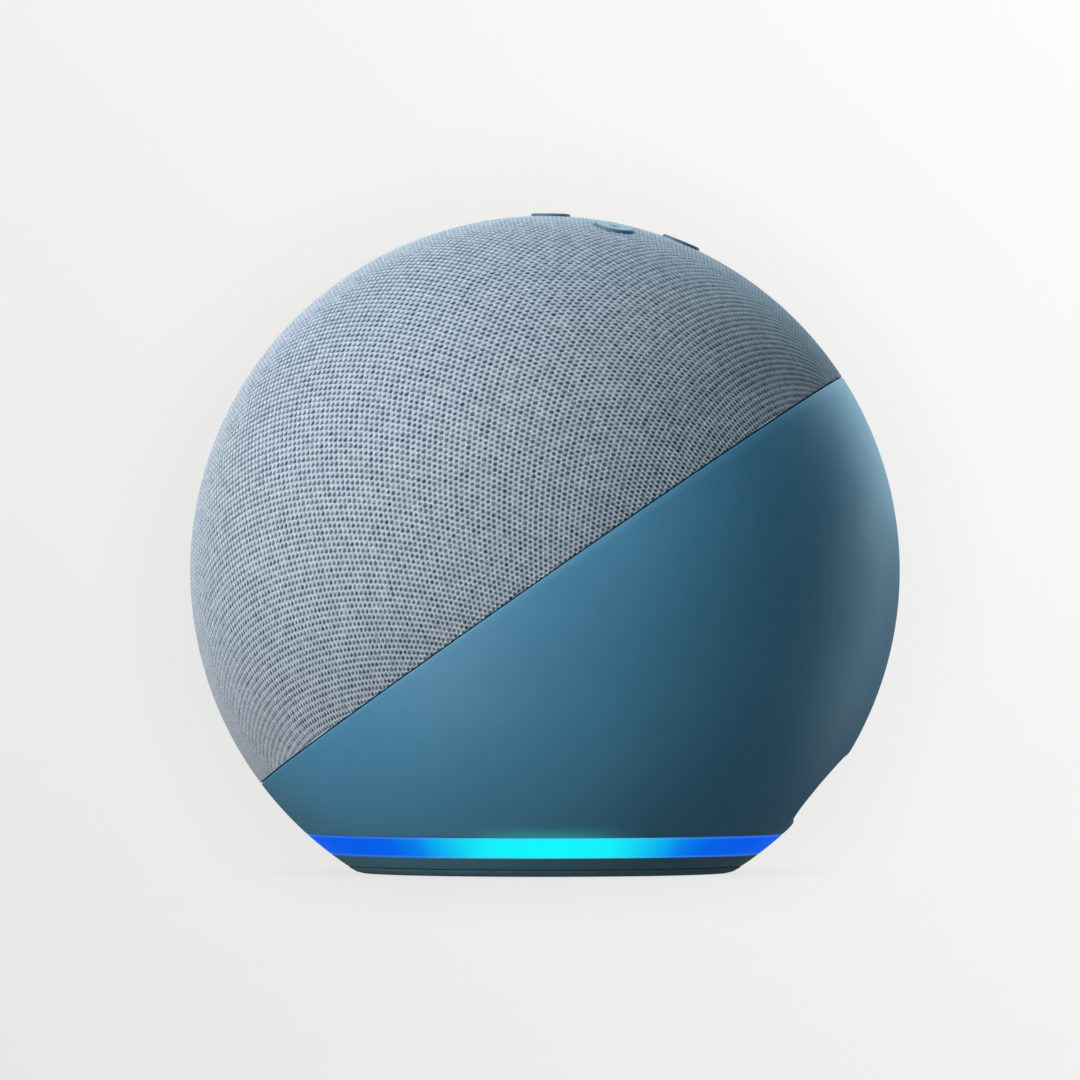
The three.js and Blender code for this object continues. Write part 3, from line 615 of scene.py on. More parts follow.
# ---------------------------------------------------------------- rear shell
BASE_LEVEL = shell_low.z
WALL = 2.4 * MM
COLUMNS = 224
ROWS = 44
LIP = 0.2 * MM
bay_low, bay_high = (Vector(corner) for corner in opening["port_bay"])
BAY_BACK = bay_low.y - 0.2 * MM
BAY_SIDE = bay_high.x + 2.7 * MM
BAY_BOTTOM = bay_low.z - 2.4 * MM
BAY_TOP = bay_high.z + 1.7 * MM
BAY_CORNER = 5.4 * MM
BAY_ARCH = 1.0 * MM
ARCH_BELOW = 0.8 * MM
BAY_INSIDE = BAY_BACK - 2 * MM
POWER_MOUTH = 4.4 * MM
AUDIO_MOUTH = 3.4 * MM
ROOT = BALL - 1.4 * MM         # posts and ribs end inside the wall, at this radius


def rounded_gap(side, bottom, top, corner, arch_above):
    """Signed distance across the rear from an arched, rounded rectangle, and the way out from it."""
    middle, half = (bottom + top) / 2, (top - bottom) / 2

    def shape(points):
        across = np.abs(points[:, 0])
        upward = points[:, 2] - middle
        arch = (across / side) ** 2 * np.where(upward > 0, arch_above, ARCH_BELOW)
        upward = np.abs(upward) * (1 + arch / half) - (half - corner)
        across = across - (side - corner)
        outside = np.hypot(np.maximum(across, 0), np.maximum(upward, 0))
        return outside + np.minimum(np.maximum(across, upward), 0) - corner

    def growth(points):
        step = np.eye(3) * 1e-6
        return np.stack([(shape(points + step[k]) - shape(points - step[k])) / 2e-6 for k in (0, 2)], 1)

    def distance(points):
        return shape(points) / np.maximum(np.linalg.norm(growth(points), axis=1), 0.2)

    def way_out(points):
        grow = growth(points)
        grow /= np.maximum(np.linalg.norm(grow, axis=1), 1e-12)[:, None]
        return np.stack([grow[:, 0], np.zeros(len(points)), grow[:, 1]], 1)

    return distance, way_out


def on_ball(points, radius):
    """Points moved along Y onto the rear of a sphere about the ball's centre."""
    spread = points[:, 0] ** 2 + (points[:, 2] - CENTRE.z) ** 2
    return np.stack([points[:, 0], np.sqrt(radius**2 - spread), points[:, 2]], 1)


def shell_surface(radius, ends):
    """The shell's surface at one radius: points and triangles from the seam down to the base, in columns."""
    edge = math.acos(BALL * math.cos(SHELL_EDGE) / radius)
    down = math.acos((CENTRE.z - BASE_LEVEL) / radius)
    trim = ends / radius
    rows = []
    for k in range(ROWS + 1):
        t = k / ROWS
        row = []
        for i in range(COLUMNS):
            turn = 2 * math.pi * i / COLUMNS
            around = BEHIND * math.cos(turn) + ACROSS * math.sin(turn)
            top = DRIVER * math.cos(edge) + around * math.sin(edge)
            flat = Vector((math.sin(turn), math.cos(turn), 0))
            bottom = Vector((0, 0, -math.cos(down))) + flat * math.sin(down)
            arc = top.angle(bottom)
            share = (trim + (arc - 2 * trim) * t) / arc
            row.append(CENTRE + top.slerp(bottom, share) * radius)
        rows.append(row)
    points = np.array([point for row in rows for point in row])
    number = np.arange(len(points)).reshape(ROWS + 1, COLUMNS)
    after = np.roll(number, -1, 1)
    a, b, c, d = number[:-1].ravel(), number[1:].ravel(), after[1:].ravel(), after[:-1].ravel()
    triangles = np.concatenate([np.stack([a, b, c], 1), np.stack([a, c, d], 1)])
    return points, triangles


def bay_cut(points, triangles, radius, gap):
    """A surface of the shell with the bay's opening cut out of it."""
    distance, way_out = gap

    def value(places):
        return np.where(places[:, 1] > 0, distance(places), 1.0)

    def onto(places):
        for _ in range(3):
            places = places - way_out(places) * distance(places)[:, None]
        return on_ball(places, radius)

    return clipped(points, triangles, value, onto, snap=0.25 * MM)


def level_circle(centre, radius, height, count):
    angles = [2 * math.pi * k / count for k in range(count)]
    x, y = centre
    return [Vector((x + radius * math.cos(angle), y + radius * math.sin(angle), height)) for angle in angles]


def circle(x, radius, y, z, count=48):
    """A circle that faces the rear."""
    return [Vector((point.x, y, point.y)) for point in level_circle((x, z), radius, 0, count)]


def jack_mouths():
    power_x, audio_x = (power_low.x + power_high.x) / 2, (audio_low.x + audio_high.x) / 2
    height = (power_low.z + power_high.z) / 2
    return [(power_x, POWER_MOUTH, height), (audio_x, AUDIO_MOUTH, height)]


def sorted_loops(skin, loops):
    """Tells the seam, base and bay loops apart by where they lie."""
    def mean(loop):
        return sum((skin.points[i] for i in loop), Vector()) / len(loop)
    bay = min(loops, key=len)
    rest = [loop for loop in loops if loop is not bay]
    base = min(rest, key=lambda loop: mean(loop).z)
    seam = max(rest, key=lambda loop: mean(loop).z)
    return seam, base, bay


def rear_shell(material):
    outer_gap = rounded_gap(BAY_SIDE, BAY_BOTTOM, BAY_TOP, BAY_CORNER, BAY_ARCH)
    inner_gap = rounded_gap(BAY_SIDE + 2 * MM, BAY_BOTTOM + 1.7 * MM, BAY_TOP + 2 * MM, BAY_CORNER, BAY_ARCH)
    ease, side, corner = 1.7 * MM, BAY_SIDE + 2.2 * MM, BAY_CORNER + 2.4 * MM
    mouth = rounded_gap(side, BAY_BOTTOM - ease, BAY_TOP + ease, corner, 3 * BAY_ARCH)
    points, triangles = bay_cut(*shell_surface(BALL, LIP), BALL, mouth)
    skin = Skin(points, triangles.tolist())
    seam, base, bay = sorted_loops(skin, open_loops(triangles))

    inner_radius = BALL - WALL
    inner_points, inner_triangles = bay_cut(*shell_surface(inner_radius, 0.0), inner_radius, inner_gap)
    inner_triangles = inner_triangles[:, ::-1]
    start = len(skin.points)
    skin.points.extend(Vector(point) for point in inner_points)
    skin.faces.extend((inner_triangles + start).tolist())
    inner_seam, inner_base, inner_bay = sorted_loops(
        skin, [[i + start for i in loop] for loop in open_loops(inner_triangles)])

    # Rounded lips at the seam and the base.
    for loop, inner_loop in ((seam, inner_seam), (base, inner_base)):
        loop_now = loop
        sharpness = 1.0 if loop is seam else 0.5
        for reach, depth in ((0.7, 0.06 * sharpness), (1.0, 0.2 * sharpness), (1.0, 0.9)):
            places = []
            for i in loop:
                way = (skin.points[i] - CENTRE).normalized()
                edge_way = (way * BALL + lip_direction(way, loop is seam) * LIP * reach).normalized()
                places.append(CENTRE + edge_way * (BALL - depth * MM))
            loop_now = skin.ring(loop_now, places)
        partner = align(skin, loop_now, inner_loop)
        skin.bridge(loop_now, partner)

    # The bay: an eased edge, straight walls, an eased corner and a flat back with two mouths.
    distance, way_out = outer_gap
    rim = np.array([skin.points[i] for i in bay])
    wall = rim - way_out(rim) * distance(rim)[:, None]
    crest = on_ball(wall, BALL)
    depth = crest[:, 1] - BAY_BACK
    fall = np.minimum(distance(rim) * 1.2, 0.75 * depth)
    foot = np.minimum(0.8 * MM, 0.2 * depth)
    loop_now = bay
    end = wall.copy()
    end[:, 1] = crest[:, 1] - fall
    for t in (0.25, 0.5, 0.75, 1.0):
        loop_now = skin.ring(loop_now, curve(rim, crest, end, t))
    low = wall.copy()
    low[:, 1] = BAY_BACK + foot
    corner = wall.copy()
    corner[:, 1] = BAY_BACK
    back = corner - way_out(rim) * foot[:, None]
    loop_now = skin.ring(loop_now, low)
    for t in (0.33, 0.67, 1.0):
        loop_now = skin.ring(loop_now, curve(low, corner, back, t))

    inner_flat = skin.ring(inner_bay, [(skin.points[i].x, BAY_INSIDE, skin.points[i].z) for i in inner_bay])

    mouth_loops, mouth_ends = [], []
    chamfer = 0.3 * MM
    for x, radius, height in jack_mouths():
        outer_ring = skin.free_ring(circle(x, radius + chamfer, BAY_BACK, height))
        inner_ring = skin.ring(outer_ring, circle(x, radius, BAY_BACK - chamfer, height))
        last = skin.ring(inner_ring, circle(x, radius, BAY_INSIDE, height))
        mouth_loops.append(outer_ring)
        mouth_ends.append(last)

    skin.fill([loop_now, *mouth_loops], rear_flat)
    skin.fill([inner_flat, *mouth_ends], rear_flat)
    whole = joined((skin.points, skin.faces), *shell_posts(), *shell_ribs())
    shell = add_piece("rear_shell", *whole, material, "shell_plastic", sharp=40.0)
    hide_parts("rear_housing")


def rear_flat(point):
    return point.x, point.z


def seen_from_above(point):
    return point.x, point.y


def lip_direction(way, towards_seam):
    """The way along the ball's surface from a point near an edge to that edge."""
    goal = DRIVER if towards_seam else Vector((0, 0, -1))
    return (goal - way * way.dot(goal)).normalized()


def align(skin, loop, other):
    """The other loop, turned and maybe reversed so that its points lie beside those of the first."""
    first = skin.points[loop[0]]
    start = min(range(len(other)), key=lambda i: (skin.points[other[i]] - first).length)
    turned_loop = other[start:] + other[:start]
    backwards = [turned_loop[0], *reversed(turned_loop[1:])]
    second = skin.points[loop[1]]
    forward_gap = (skin.points[turned_loop[1]] - second).length
    return turned_loop if forward_gap < (skin.points[backwards[1]] - second).length else backwards


def shell_posts():
    """Four posts that take the baffle's screws, grown from the shell's wall."""
    top, foot, wide, bore, depth = 1.5 * MM, 37 * MM, 3 * MM, 1.35 * MM, 12 * MM
    posts = []
    tilt = Matrix.Translation(CENTRE) @ Matrix.Rotation(TILT, 4, "X")
    for quarter in range(4):
        angle = math.radians(45 + 90 * quarter)
        middle = Vector((math.cos(angle), math.sin(angle), 0)) * 61 * MM
        profile = [(0, -foot), (wide, -foot), (wide, -top), (bore, -top), (bore, -depth), (0, -depth)]
        points, faces = turned(profile, 24, Matrix.Translation(middle))
        for point in points:
            if point.z < -20 * MM:
                point.z = -math.sqrt(ROOT**2 - point.x**2 - point.y**2)
        posts.append(([tilt @ point for point in points], faces))
    return posts


def shell_ribs():
    """Three ribs over the base that take its screws."""
    top, half, bore = 12 * MM, 3 * MM, 1.35 * MM
    start = BASE_SCREW_CIRCLE - half
    ribs = []
    for degrees in BASE_SCREW_ANGLES:
        turn = Matrix.Rotation(math.radians(degrees), 4, "Z")
        low_end, high_end = (math.sqrt(ball_radius_at(z, ROOT) ** 2 - half**2) for z in (BASE_LEVEL, top))
        skin = Skin([], [])
        bottom = skin.free_ring(
            [(start, -half, BASE_LEVEL), (low_end, -half, BASE_LEVEL), (low_end, half, BASE_LEVEL),
             (start, half, BASE_LEVEL)])
        upper = skin.ring(
            bottom, [(start, -half, top), (high_end, -half, top), (high_end, half, top), (start, half, top)])
        mouth = skin.free_ring(level_circle((BASE_SCREW_CIRCLE, 0), bore, BASE_LEVEL, 24))
        end = skin.ring(mouth, level_circle((BASE_SCREW_CIRCLE, 0), bore, top - MM, 24))
        for loops in ([bottom, mouth], [upper], [end]):
            skin.fill(loops, seen_from_above)
        ribs.append(([turn @ point for point in skin.points], skin.faces))
    return ribs


def shell_material():
    colour = linear(80, 148, 187)
    made = moulded("shell_plastic", colour, 0.46, Specular_IOR_Level=0.45)
    glow_above(made, shell_low.z, 1.0)
    return made.material


def facing_angle(made):
    """The unsigned angle round the base from the lit side, which faces +X and a little to the rear."""
    x, y, _ = made.split(made.place())
    angle = made.maths("ARCTAN2", y, x)
    return made.maths("ABSOLUTE", made.maths("SUBTRACT", angle, LIT_SIDE))


def glow_above(made, level, direction):
    """Light that leaks from the ring into the plastic beside it, on the lit side."""
    _, _, z = made.split(made.place())
    away = made.maths("MULTIPLY", made.maths("SUBTRACT", z, level), direction)
    fade = made.maths("POWER", made.span(away, 0.0, 3.0 * MM, 1.0, 0.0), 1.8)
    lit = made.span(facing_angle(made), math.radians(3), math.radians(24), 1.0, 0.0, smooth=True)
    amount = made.maths("MULTIPLY", fade, lit)
    made.set("Emission Color", made.blend(amount, (0.0, 0.0, 0.0, 1.0), linear(0, 118, 106)))
    made.set("Emission Strength", 1.0)


# ---------------------------------------------------------------- light ring, base and foot
def ball_arc(low, high, steps):
    heights = [low + (high - low) * k / steps for k in range(steps + 1)]
    return [(ball_radius_at(height), height) for height in heights]


def light_ring(material):
    close = 0.27 * MM          # the soft guide is pressed up to its neighbours, so no gap shows
    low, high = ring_low.z - close, ring_high.z + close
    ease = 0.1 * MM
    inner = 40.2 * MM
    outline = [(inner, low), (ball_radius_at(low) - 2 * ease, low), *ball_arc(low + ease, high - ease, 6)]
    outline += [(ball_radius_at(high) - ease, high), (ball_radius_at(high) - 3 * MM, high)]
    outline += [(inner, high - 0.9 * MM)]
    made = add_piece("light_guide", *turned(outline, 256), material, "light_guide")
    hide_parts("light_ring")


def light_material():
    made = Finish("light_guide", linear(2, 16, 40), 0.4, Specular_IOR_Level=0.01)
    angle = made.maths("DIVIDE", facing_angle(made), math.pi)
    stops = [
        (0.0, linear(18, 249, 251)), (0.086, linear(22, 240, 250)), (0.123, linear(18, 212, 241)),
        (0.156, linear(12, 178, 239)), (0.195, linear(6, 128, 234)), (0.239, linear(4, 98, 232)),
        (0.3, linear(2, 90, 231)), (1.0, linear(2, 78, 222)),
    ]
    colour = made.ramp(angle, stops)
    _, _, z = made.split(made.place())
    middle = (ring_low.z + ring_high.z) / 2
    height = made.maths("ABSOLUTE", made.maths("SUBTRACT", z, middle))
    edge = made.span(height, 1.5 * MM, 1.9 * MM, 0.0, 0.28, smooth=True)
    cloudy = made.grained(1.4 * MM, 3.0, 0.0, 0.03)
    colour = made.blend(edge, colour, linear(90, 150, 228))
    colour = made.blend(cloudy, colour, linear(30, 150, 235))
    made.set("Emission Color", colour)
    made.set("Emission Strength", 1.0)
    made.set("Roughness", made.grained(0.3 * MM, 2.0, 0.28, 0.40))
    made.bump(made.noise(0.2 * MM, 2.0), 0.004 * MM)
    return made.material


def base_plate(material):
    """A disc with a raised boss in the middle, three deep-set screw holes and low rings underneath."""
    low, high = plate_low.z, plate_high.z
    rim_low, rim_high, pad_top = foot_high.z + 0.12 * MM, PLATE_RIM, PAD_TOP
    hole = insert_high.x + 0.3 * MM
    middle, ease = 23.6 * MM, 0.12 * MM
    profile = [(ball_radius_at(rim_low) - ease, rim_low), *ball_arc(rim_low + ease, rim_high - ease, 4)]
    profile += [(ball_radius_at(rim_high) - ease, rim_high)]
    outer = len(profile) - 1
    profile += [(hole + 2.6 * MM, rim_high), (hole + 2.6 * MM, high), (hole, high), (hole, low)]
    for start in (9.5, 13.0, 16.5, 20.0):
        groove = ((0.0, 0.0), (0.25, 0.3), (0.75, 0.3), (1.0, 0.0))
        profile += [((start + across) * MM, low + up * MM) for across, up in groove]
    profile += [(middle, low), (middle, rim_low)]
    skin = Skin([], [])
    loops = []
    for k, (radius, height) in enumerate(profile):
        places = level_circle((0, 0), radius, height, 192)
        loops.append(skin.free_ring(places) if k in (0, outer + 1) else skin.ring(loops[-1], places))
    mouths, pads = [], []
    ledge = 3.2 * MM
    steps = [(2.8, rim_low), (2.8, ledge), (1.4, ledge), (1.4, pad_top), (3.6, pad_top), (3.6, rim_high)]
    for angle in map(math.radians, BASE_SCREW_ANGLES):
        seat = (BASE_SCREW_CIRCLE * math.cos(angle), BASE_SCREW_CIRCLE * math.sin(angle))
        rings = []
        for k, (radius, height) in enumerate(steps):
            places = level_circle(seat, radius * MM, height, 32)
            rings.append(skin.ring(rings[-1], places) if k else skin.free_ring(places))
        mouths.append(rings[0])
        pads.append(rings[-1])

    skin.fill([loops[0], loops[-1], *mouths], seen_from_above)
    skin.fill([loops[outer], loops[outer + 1], *pads], seen_from_above)
    made = add_piece("base_disc", skin.points, skin.faces, material, "base_plastic", sharp=30.0)
    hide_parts("base_plate")


def rubber_foot(material):
    top = foot_high.z
    inner = 24 * MM
    tread = [(inner + 0.4 * MM, 0.0)]
    for start in (2.2, 5.2, 8.2, 11.2):
        groove = ((0.0, 0.0), (0.2, 0.25), (1.0, 0.25), (1.2, 0.0))
        tread += [(inner + (start + across) * MM, up * MM) for across, up in groove]
    outer = [(37 * MM, 0.0), (38.2 * MM, 0.3 * MM), (39.4 * MM, 0.95 * MM), (ball_radius_at(top), top)]
    outline = [(inner, 0.4 * MM), *tread, *outer, (inner, top)]
    made = add_piece("foot_ring", *turned(outline, 256), material, "foot_rubber", sharp=30.0)
    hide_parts("rubber_foot")


def thread_insert(material):
    """A brass insert: a knurled outside and a true quarter-inch helical thread inside."""
    low, high = insert_low.z, insert_high.z
    outer, root = insert_high.x, 3.175 * MM
    pitch, tooth = 1.27 * MM, 0.55 * MM
    sides, rows = 72, 64
    points, faces = [], []
    for k in range(rows + 1):
        height = low + (high - low) * k / rows
        fade = min(1.0, k / 5, (rows - k) / 5)
        for i in range(sides):
            turn = i / sides
            wave = abs(((height / pitch - turn) % 1) * 2 - 1)
            radius = root - tooth * fade * max(0.0, min(1.0, wave * 1.4 - 0.2))
            angle = 2 * math.pi * turn
            points.append(Vector((radius * math.cos(angle), radius * math.sin(angle), height)))
    outer_rows, groove = 12, 0.28 * MM
    for k in range(outer_rows + 1):
        height = high - (high - low) * k / outer_rows
        grooved = 2 <= k <= 5 or 7 <= k <= 10
        ease = 0.25 * MM if k in (0, outer_rows) else 0.0
        for i in range(sides):
            cut = groove * (i % 2) if grooved else (groove if k == 6 else 0.0)
            angle = 2 * math.pi * i / sides
            radius = outer - cut - ease
            points.append(Vector((radius * math.cos(angle), radius * math.sin(angle), height)))
    total = rows + 1 + outer_rows + 1
    for k in range(total):
        for i in range(sides):
            here, above, beside = k * sides, (k + 1) % total * sides, (i + 1) % sides
            faces.append((here + i, above + i, above + beside, here + beside))
    made = add_piece("brass_insert", points, faces, material, "insert_brass", sharp=30.0)
    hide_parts("thread_insert")


# ---------------------------------------------------------------- buttons
def button_cap(name, material, mark_material):
    axis = BUTTON_LIFT[name]
    place = upright(axis)
    heights = [(vertex.co - CENTRE).dot(axis) for vertex in frame["nodes"][name].data.vertices]
    low, top = min(heights), max(heights)
    flange = low + 0.9 * MM
    flange_top = flange + 0.8 * MM
    dish = 0.16 * MM
    stem = 1.5 * MM
    outline = [(0, low), (stem, low), (stem, flange)]
    outline += [(CAP + MM, flange), (CAP + MM, flange_top), (CAP, flange_top)]
    rounding = ((0.0, 0.40), (0.06, 0.2), (0.2, 0.06), (0.42, 0.0), (0.75, 0.03))
    outline += [(CAP - inward * MM, top - down * MM) for inward, down in rounding]
    outline += [(CAP * share, top - dish * (1 - share**2)) for share in (0.7, 0.5, 0.3, 0.15)]
    outline += [(0, top - dish)]
    cap = add_piece(f"{name}_cap", *turned(outline, 96, place), material, "button_plastic", name, 42.0)
    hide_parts(name)
    level = top - dish
    wide, narrow = 0.42 * MM, 0.3 * MM
    marks = {
        "action_button": [turned(mark_dot(level, 0.55 * MM), 32, place)],
        "volume_up_button": [bar(wide, level, place, 0), bar(wide, level, place, 90)],
        "volume_down_button": [bar(wide, level, place, 0)],
        "mic_off_button": [turned(mark_ring(level, 1.15 * MM), 48, place), bar(narrow, level, place, 45)],
    }
    add_piece(f"{name}_mark", *joined(*marks[name]), mark_material, "button_plastic", name, 30.0)


def button_material():
    """Satin plastic, pale on the caps' faces and darker on their sides, where shade is painted."""
    made = moulded("button_plastic", linear(150, 178, 198), 0.5, Specular_IOR_Level=0.35)
    up = sum(BUTTON_LIFT.values(), Vector()).normalized()
    normal = made.node("ShaderNodeNewGeometry").outputs["Normal"]
    facing = made.dot(normal, up)
    face = made.blend(made.grained(0.25 * MM, 3.0, 0.0, 1.0), linear(146, 174, 194), linear(155, 183, 203))
    # Sides turned away from the buttons' common axis are painted darker, a painted shade.
    made.set("Base Color", made.blend(made.span(facing, 0.78, 0.95), linear(96, 122, 140), face))
    return made.material


def block(x, y, half_x, half_y):
    """The corners of a rectangle about a middle."""
    return [(x + across * half_x, y + up * half_y) for across, up in ((-1, -1), (1, -1), (1, 1), (-1, 1))]


def mark_dot(level, radius):
    low, high = level - 0.12 * MM, level + 0.12 * MM
    return [(0, low), (radius, low), (radius, (level + high) / 2), (radius * 0.8, high), (0, high)]


def mark_ring(level, radius):
    return softened(block(radius, level, 0.16 * MM, 0.10 * MM), 0.04 * MM, 2)


def bar(width, level, place, degrees):
    """A low bar with round ends, lying on a cap."""
    length, rise = 2.3 * MM, 0.10 * MM
    steps = 8
    turn = Matrix.Rotation(math.radians(degrees), 4, "Z")
    outline = []
    for end in (1, -1):
        for k in range(steps + 1):
            angle = -math.pi / 2 + math.pi * k / steps
            x = end * ((length - width) / 2 + width / 2 * math.cos(angle))
            outline.append((x, end * width / 2 * math.sin(angle)))
    count = len(outline)
    points, faces = [], []
    for share, height in ((1.0, level - rise), (1.0, level + rise * 0.5), (0.86, level + rise)):
        for x, y in outline:
            points.append(place @ turn @ Vector((x * share, y * share, height)))
    for lower in (0, count):
        for k in range(count):
            after = (k + 1) % count
            faces.append((lower + k, lower + after, lower + count + after, lower + count + k))
    faces.append(tuple(range(count)))
    faces.append(tuple(range(2 * count, 3 * count)))
    return points, faces


# ---------------------------------------------------------------- sockets in the bay
def socket_body(name, low, high, bore, depth, material):
    """A socket's moulded body: a block that flares out at its rear face, with a round bore from there."""
    face = high.y
    x, height = (low.x + high.x) / 2, (low.z + high.z) / 2
    flare = 0.3 * MM
    half_x, half_z = (high.x - low.x) / 2, (high.z - low.z) / 2

    def outline(grow, y):
        shape = softened(block(x, height, half_x + grow, half_z + grow), MM, 4)
        return [(across, y, up) for across, up in shape]

    skin = Skin([], [])
    front = skin.free_ring(outline(flare, face))
    side = skin.ring(front, outline(0, face - flare))
    rear = skin.ring(side, outline(0, low.y))
    mouth = skin.free_ring(circle(x, bore + flare, face, height, 64))
    neck = skin.ring(mouth, circle(x, bore, face - flare, height, 64))
    end = skin.ring(neck, circle(x, bore, face - depth, height, 64))
    for loops in ([front, mouth], [rear], [end]):
        skin.fill(loops, rear_flat)
    made = add_piece(name, skin.points, skin.faces, material, "inner_plastic", sharp=30.0)
    return made, x, height, face


def sockets(body_material, metal):
    rearward = Matrix.Rotation(-math.pi / 2, 4, "X")
    bore, depth = 3.1 * MM, 9 * MM
    power, x, height, face = socket_body("power_socket", power_low, power_high, bore, depth, body_material)
    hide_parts("power_jack")
    at = Matrix.Translation((x, 0, height)) @ rearward
    pin = [(0, face - depth - 0.5 * MM), (0.9 * MM, face - depth - 0.5 * MM), (0.9 * MM, face - 1.9 * MM)]
    pin += [(0.75 * MM, face - 1.45 * MM), (0.4 * MM, face - 1.22 * MM), (0, face - 1.2 * MM)]
    add_piece("power_pin", *turned(pin, 32, at), metal, "zinc_steel")
    sleeve = block(bore - 0.075 * MM, face - 5.35 * MM, 0.175 * MM, 3.15 * MM)
    add_piece("power_sleeve", *turned(softened(sleeve, 0.1 * MM), 48, at), metal, "zinc_steel")

    bore, depth = 1.8 * MM, 10 * MM
    audio, x, height, face = socket_body("audio_socket", audio_low, audio_high, bore, depth, body_material)
    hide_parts("audio_jack")
    at = Matrix.Translation((x, 0, height)) @ rearward
    collar = block(bore + 0.425 * MM, face - 1.325 * MM, 0.475 * MM, 1.675 * MM)
    add_piece("audio_collar", *turned(softened(collar, 0.15 * MM), 48, at), metal, "zinc_steel")


# ---------------------------------------------------------------- materials of the pieces kept as they are
def board_material():
    made = Finish("circuit_board", linear(24, 78, 52), 0.38, Specular_IOR_Level=0.5)
    lanes = made.noise(2.4 * MM, 1.0, made.stretch(made.place(), (1.0, 0.25, 1.0)))
    track = made.span(made.maths("PINGPONG", made.maths("MULTIPLY", lanes, 6.0), 0.5), 0.16, 0.22)
    made.set("Base Color", made.blend(track, linear(38, 104, 70), linear(20, 66, 44)))
    made.set("Roughness", made.grained(0.4 * MM, 2.0, 0.32, 0.5))
    made.bump(track, 0.03 * MM, 0.6)
    return made.material


def metal_material(name, colour, roughness, grain):
    made = Finish(name, colour, roughness, 1.0)
    streak = made.noise(0.35 * MM, 4.0, made.stretch(made.place(), grain))
    shine = made.span(streak, 0.3, 0.7)
    made.set("Base Color", made.blend(shine, toned(colour, 0.82), toned(colour, 1.06)))
    made.set("Roughness", made.span(streak, 0.3, 0.7, roughness - 0.08, roughness + 0.12))
    made.bump(streak, 0.01 * MM, 0.5)
    return made.material


def fibrous_material(name, colour, roughness, size, depth):
    """Pressed pulp, ferrite, rubber or woven cloth: mottled tone over a fine rough grain."""
    made = Finish(name, colour, roughness, Specular_IOR_Level=0.3)
    coarse, fine = made.noise(size * 8, 3.0), made.noise(size, 4.0, roughness=0.65)
    mottled = made.blend(made.span(coarse, 0.3, 0.7), toned(colour, 0.8), toned(colour, 1.2))
    made.set("Base Color", made.blend(made.span(fine, 0.35, 0.7, 0.0, 0.35), mottled, toned(colour, 1.7)))
    made.set("Roughness", made.span(fine, 0.3, 0.7, roughness - 0.08, min(1.0, roughness + 0.05)))
    made.bump(fine, depth, 0.8)
    return made.material


def weave_material(name, colour, roughness):
    """Treated cloth, with warp and weft in turn."""
    made = Finish(name, colour, roughness)
    x, y, _ = made.split(made.place())
    turns = 2 * math.pi / (0.5 * MM)
    warp = made.maths("SINE", made.maths("MULTIPLY", x, turns))
    weft = made.maths("SINE", made.maths("MULTIPLY", y, turns))
    weave = made.span(made.maths("MULTIPLY", warp, weft), -1.0, 1.0)
    made.set("Base Color", made.blend(weave, toned(colour, 0.7), toned(colour, 1.15)))
    made.bump(weave, 0.05 * MM, 0.7)
    return made.material


def slot_materials():
    return {
        "grille_plastic": moulded("grille_plastic", linear(44, 62, 78), 0.62).material,
        "circuit_board": board_material(),
        "inner_plastic": moulded("inner_plastic", linear(43, 45, 48), 0.6).material,
        "zinc_steel": metal_material("zinc_steel", linear(178, 182, 188), 0.34, (1.0, 1.0, 0.12)),
        "ferrite": fibrous_material("ferrite", linear(58, 60, 64), 0.7, 0.25 * MM, 0.03 * MM),
        "spreader_aluminium": metal_material(
            "spreader_aluminium", linear(205, 207, 210), 0.36, (0.1, 1.0, 1.0)),
        "cone_paper": fibrous_material("cone_paper", linear(36, 36, 37), 0.9, 0.35 * MM, 0.05 * MM),
        "surround_rubber": fibrous_material(
            "surround_rubber", linear(26, 26, 28), 0.72, 0.15 * MM, 0.01 * MM),
        "spider_cloth": weave_material("spider_cloth", linear(186, 142, 70), 0.8),
        "coil_copper": metal_material("coil_copper", linear(196, 112, 62), 0.3, (0.2, 0.2, 6.0)),
        "dome_film": moulded("dome_film", linear(170, 148, 108), 0.3, 2 * MM, 0.004 * MM).material,
        "flex_film": moulded("flex_film", linear(190, 122, 48), 0.32, 1.2 * MM, 0.004 * MM).material,
        "cable_jacket": moulded("cable_jacket", linear(30, 30, 34), 0.55).material,
    }


def dress_frame(materials):
    """Gives every CAD piece that stays its own slot's finish."""
    slots = {part["node"]: part["material_slot"] for part in frame["record"]["subparts"]}
    for name, shape in frame["nodes"].items():
        if slots[name] in materials:
            shape.data.materials.clear()
            shape.data.materials.append(materials[slots[name]])


# ---------------------------------------------------------------- camera, floor and lights
VIEW_AZIMUTH = 92
DISTANCE = 2.6
AIM = Vector((0, -1 * MM, 6.2 * MM))   # from the ball's centre to what the camera points at
LENS = 427
SENSOR = 36
HALF_VIEW = 0.0421             # tangent of half the view's angle
PALE = 0.946                   # display tone of the backdrop at the middle of the view
TONE_STEP = 0.0225             # how much it climbs from there to the right or upper edge of the view
HALO_SHADE = 0.030             # how much darker the backdrop is just round the ball
FOOT_SHADE = 0.035             # how much darker the floor is at the foot
AMBIENT_BELOW = 0.02
AMBIENT_ABOVE = 0.04
BACKDROP_LIGHT = 0.12
AMBIENT_COLOUR = (0.82, 0.95, 1.0, 1.0)
WHITE = (1.0, 1.0, 1.0)
COOL = (0.6, 0.9, 1.0)
FAINTLY_COOL = (0.86, 0.98, 1.0)
FAINTLY_WARM = (1.0, 0.94, 0.88)
WARM = (1.0, 0.84, 0.72)


def level_way(azimuth):
    """The level direction at an azimuth in degrees, from the front towards +X."""
    turn = math.radians(azimuth)
    return Vector((math.sin(turn), -math.cos(turn), 0))


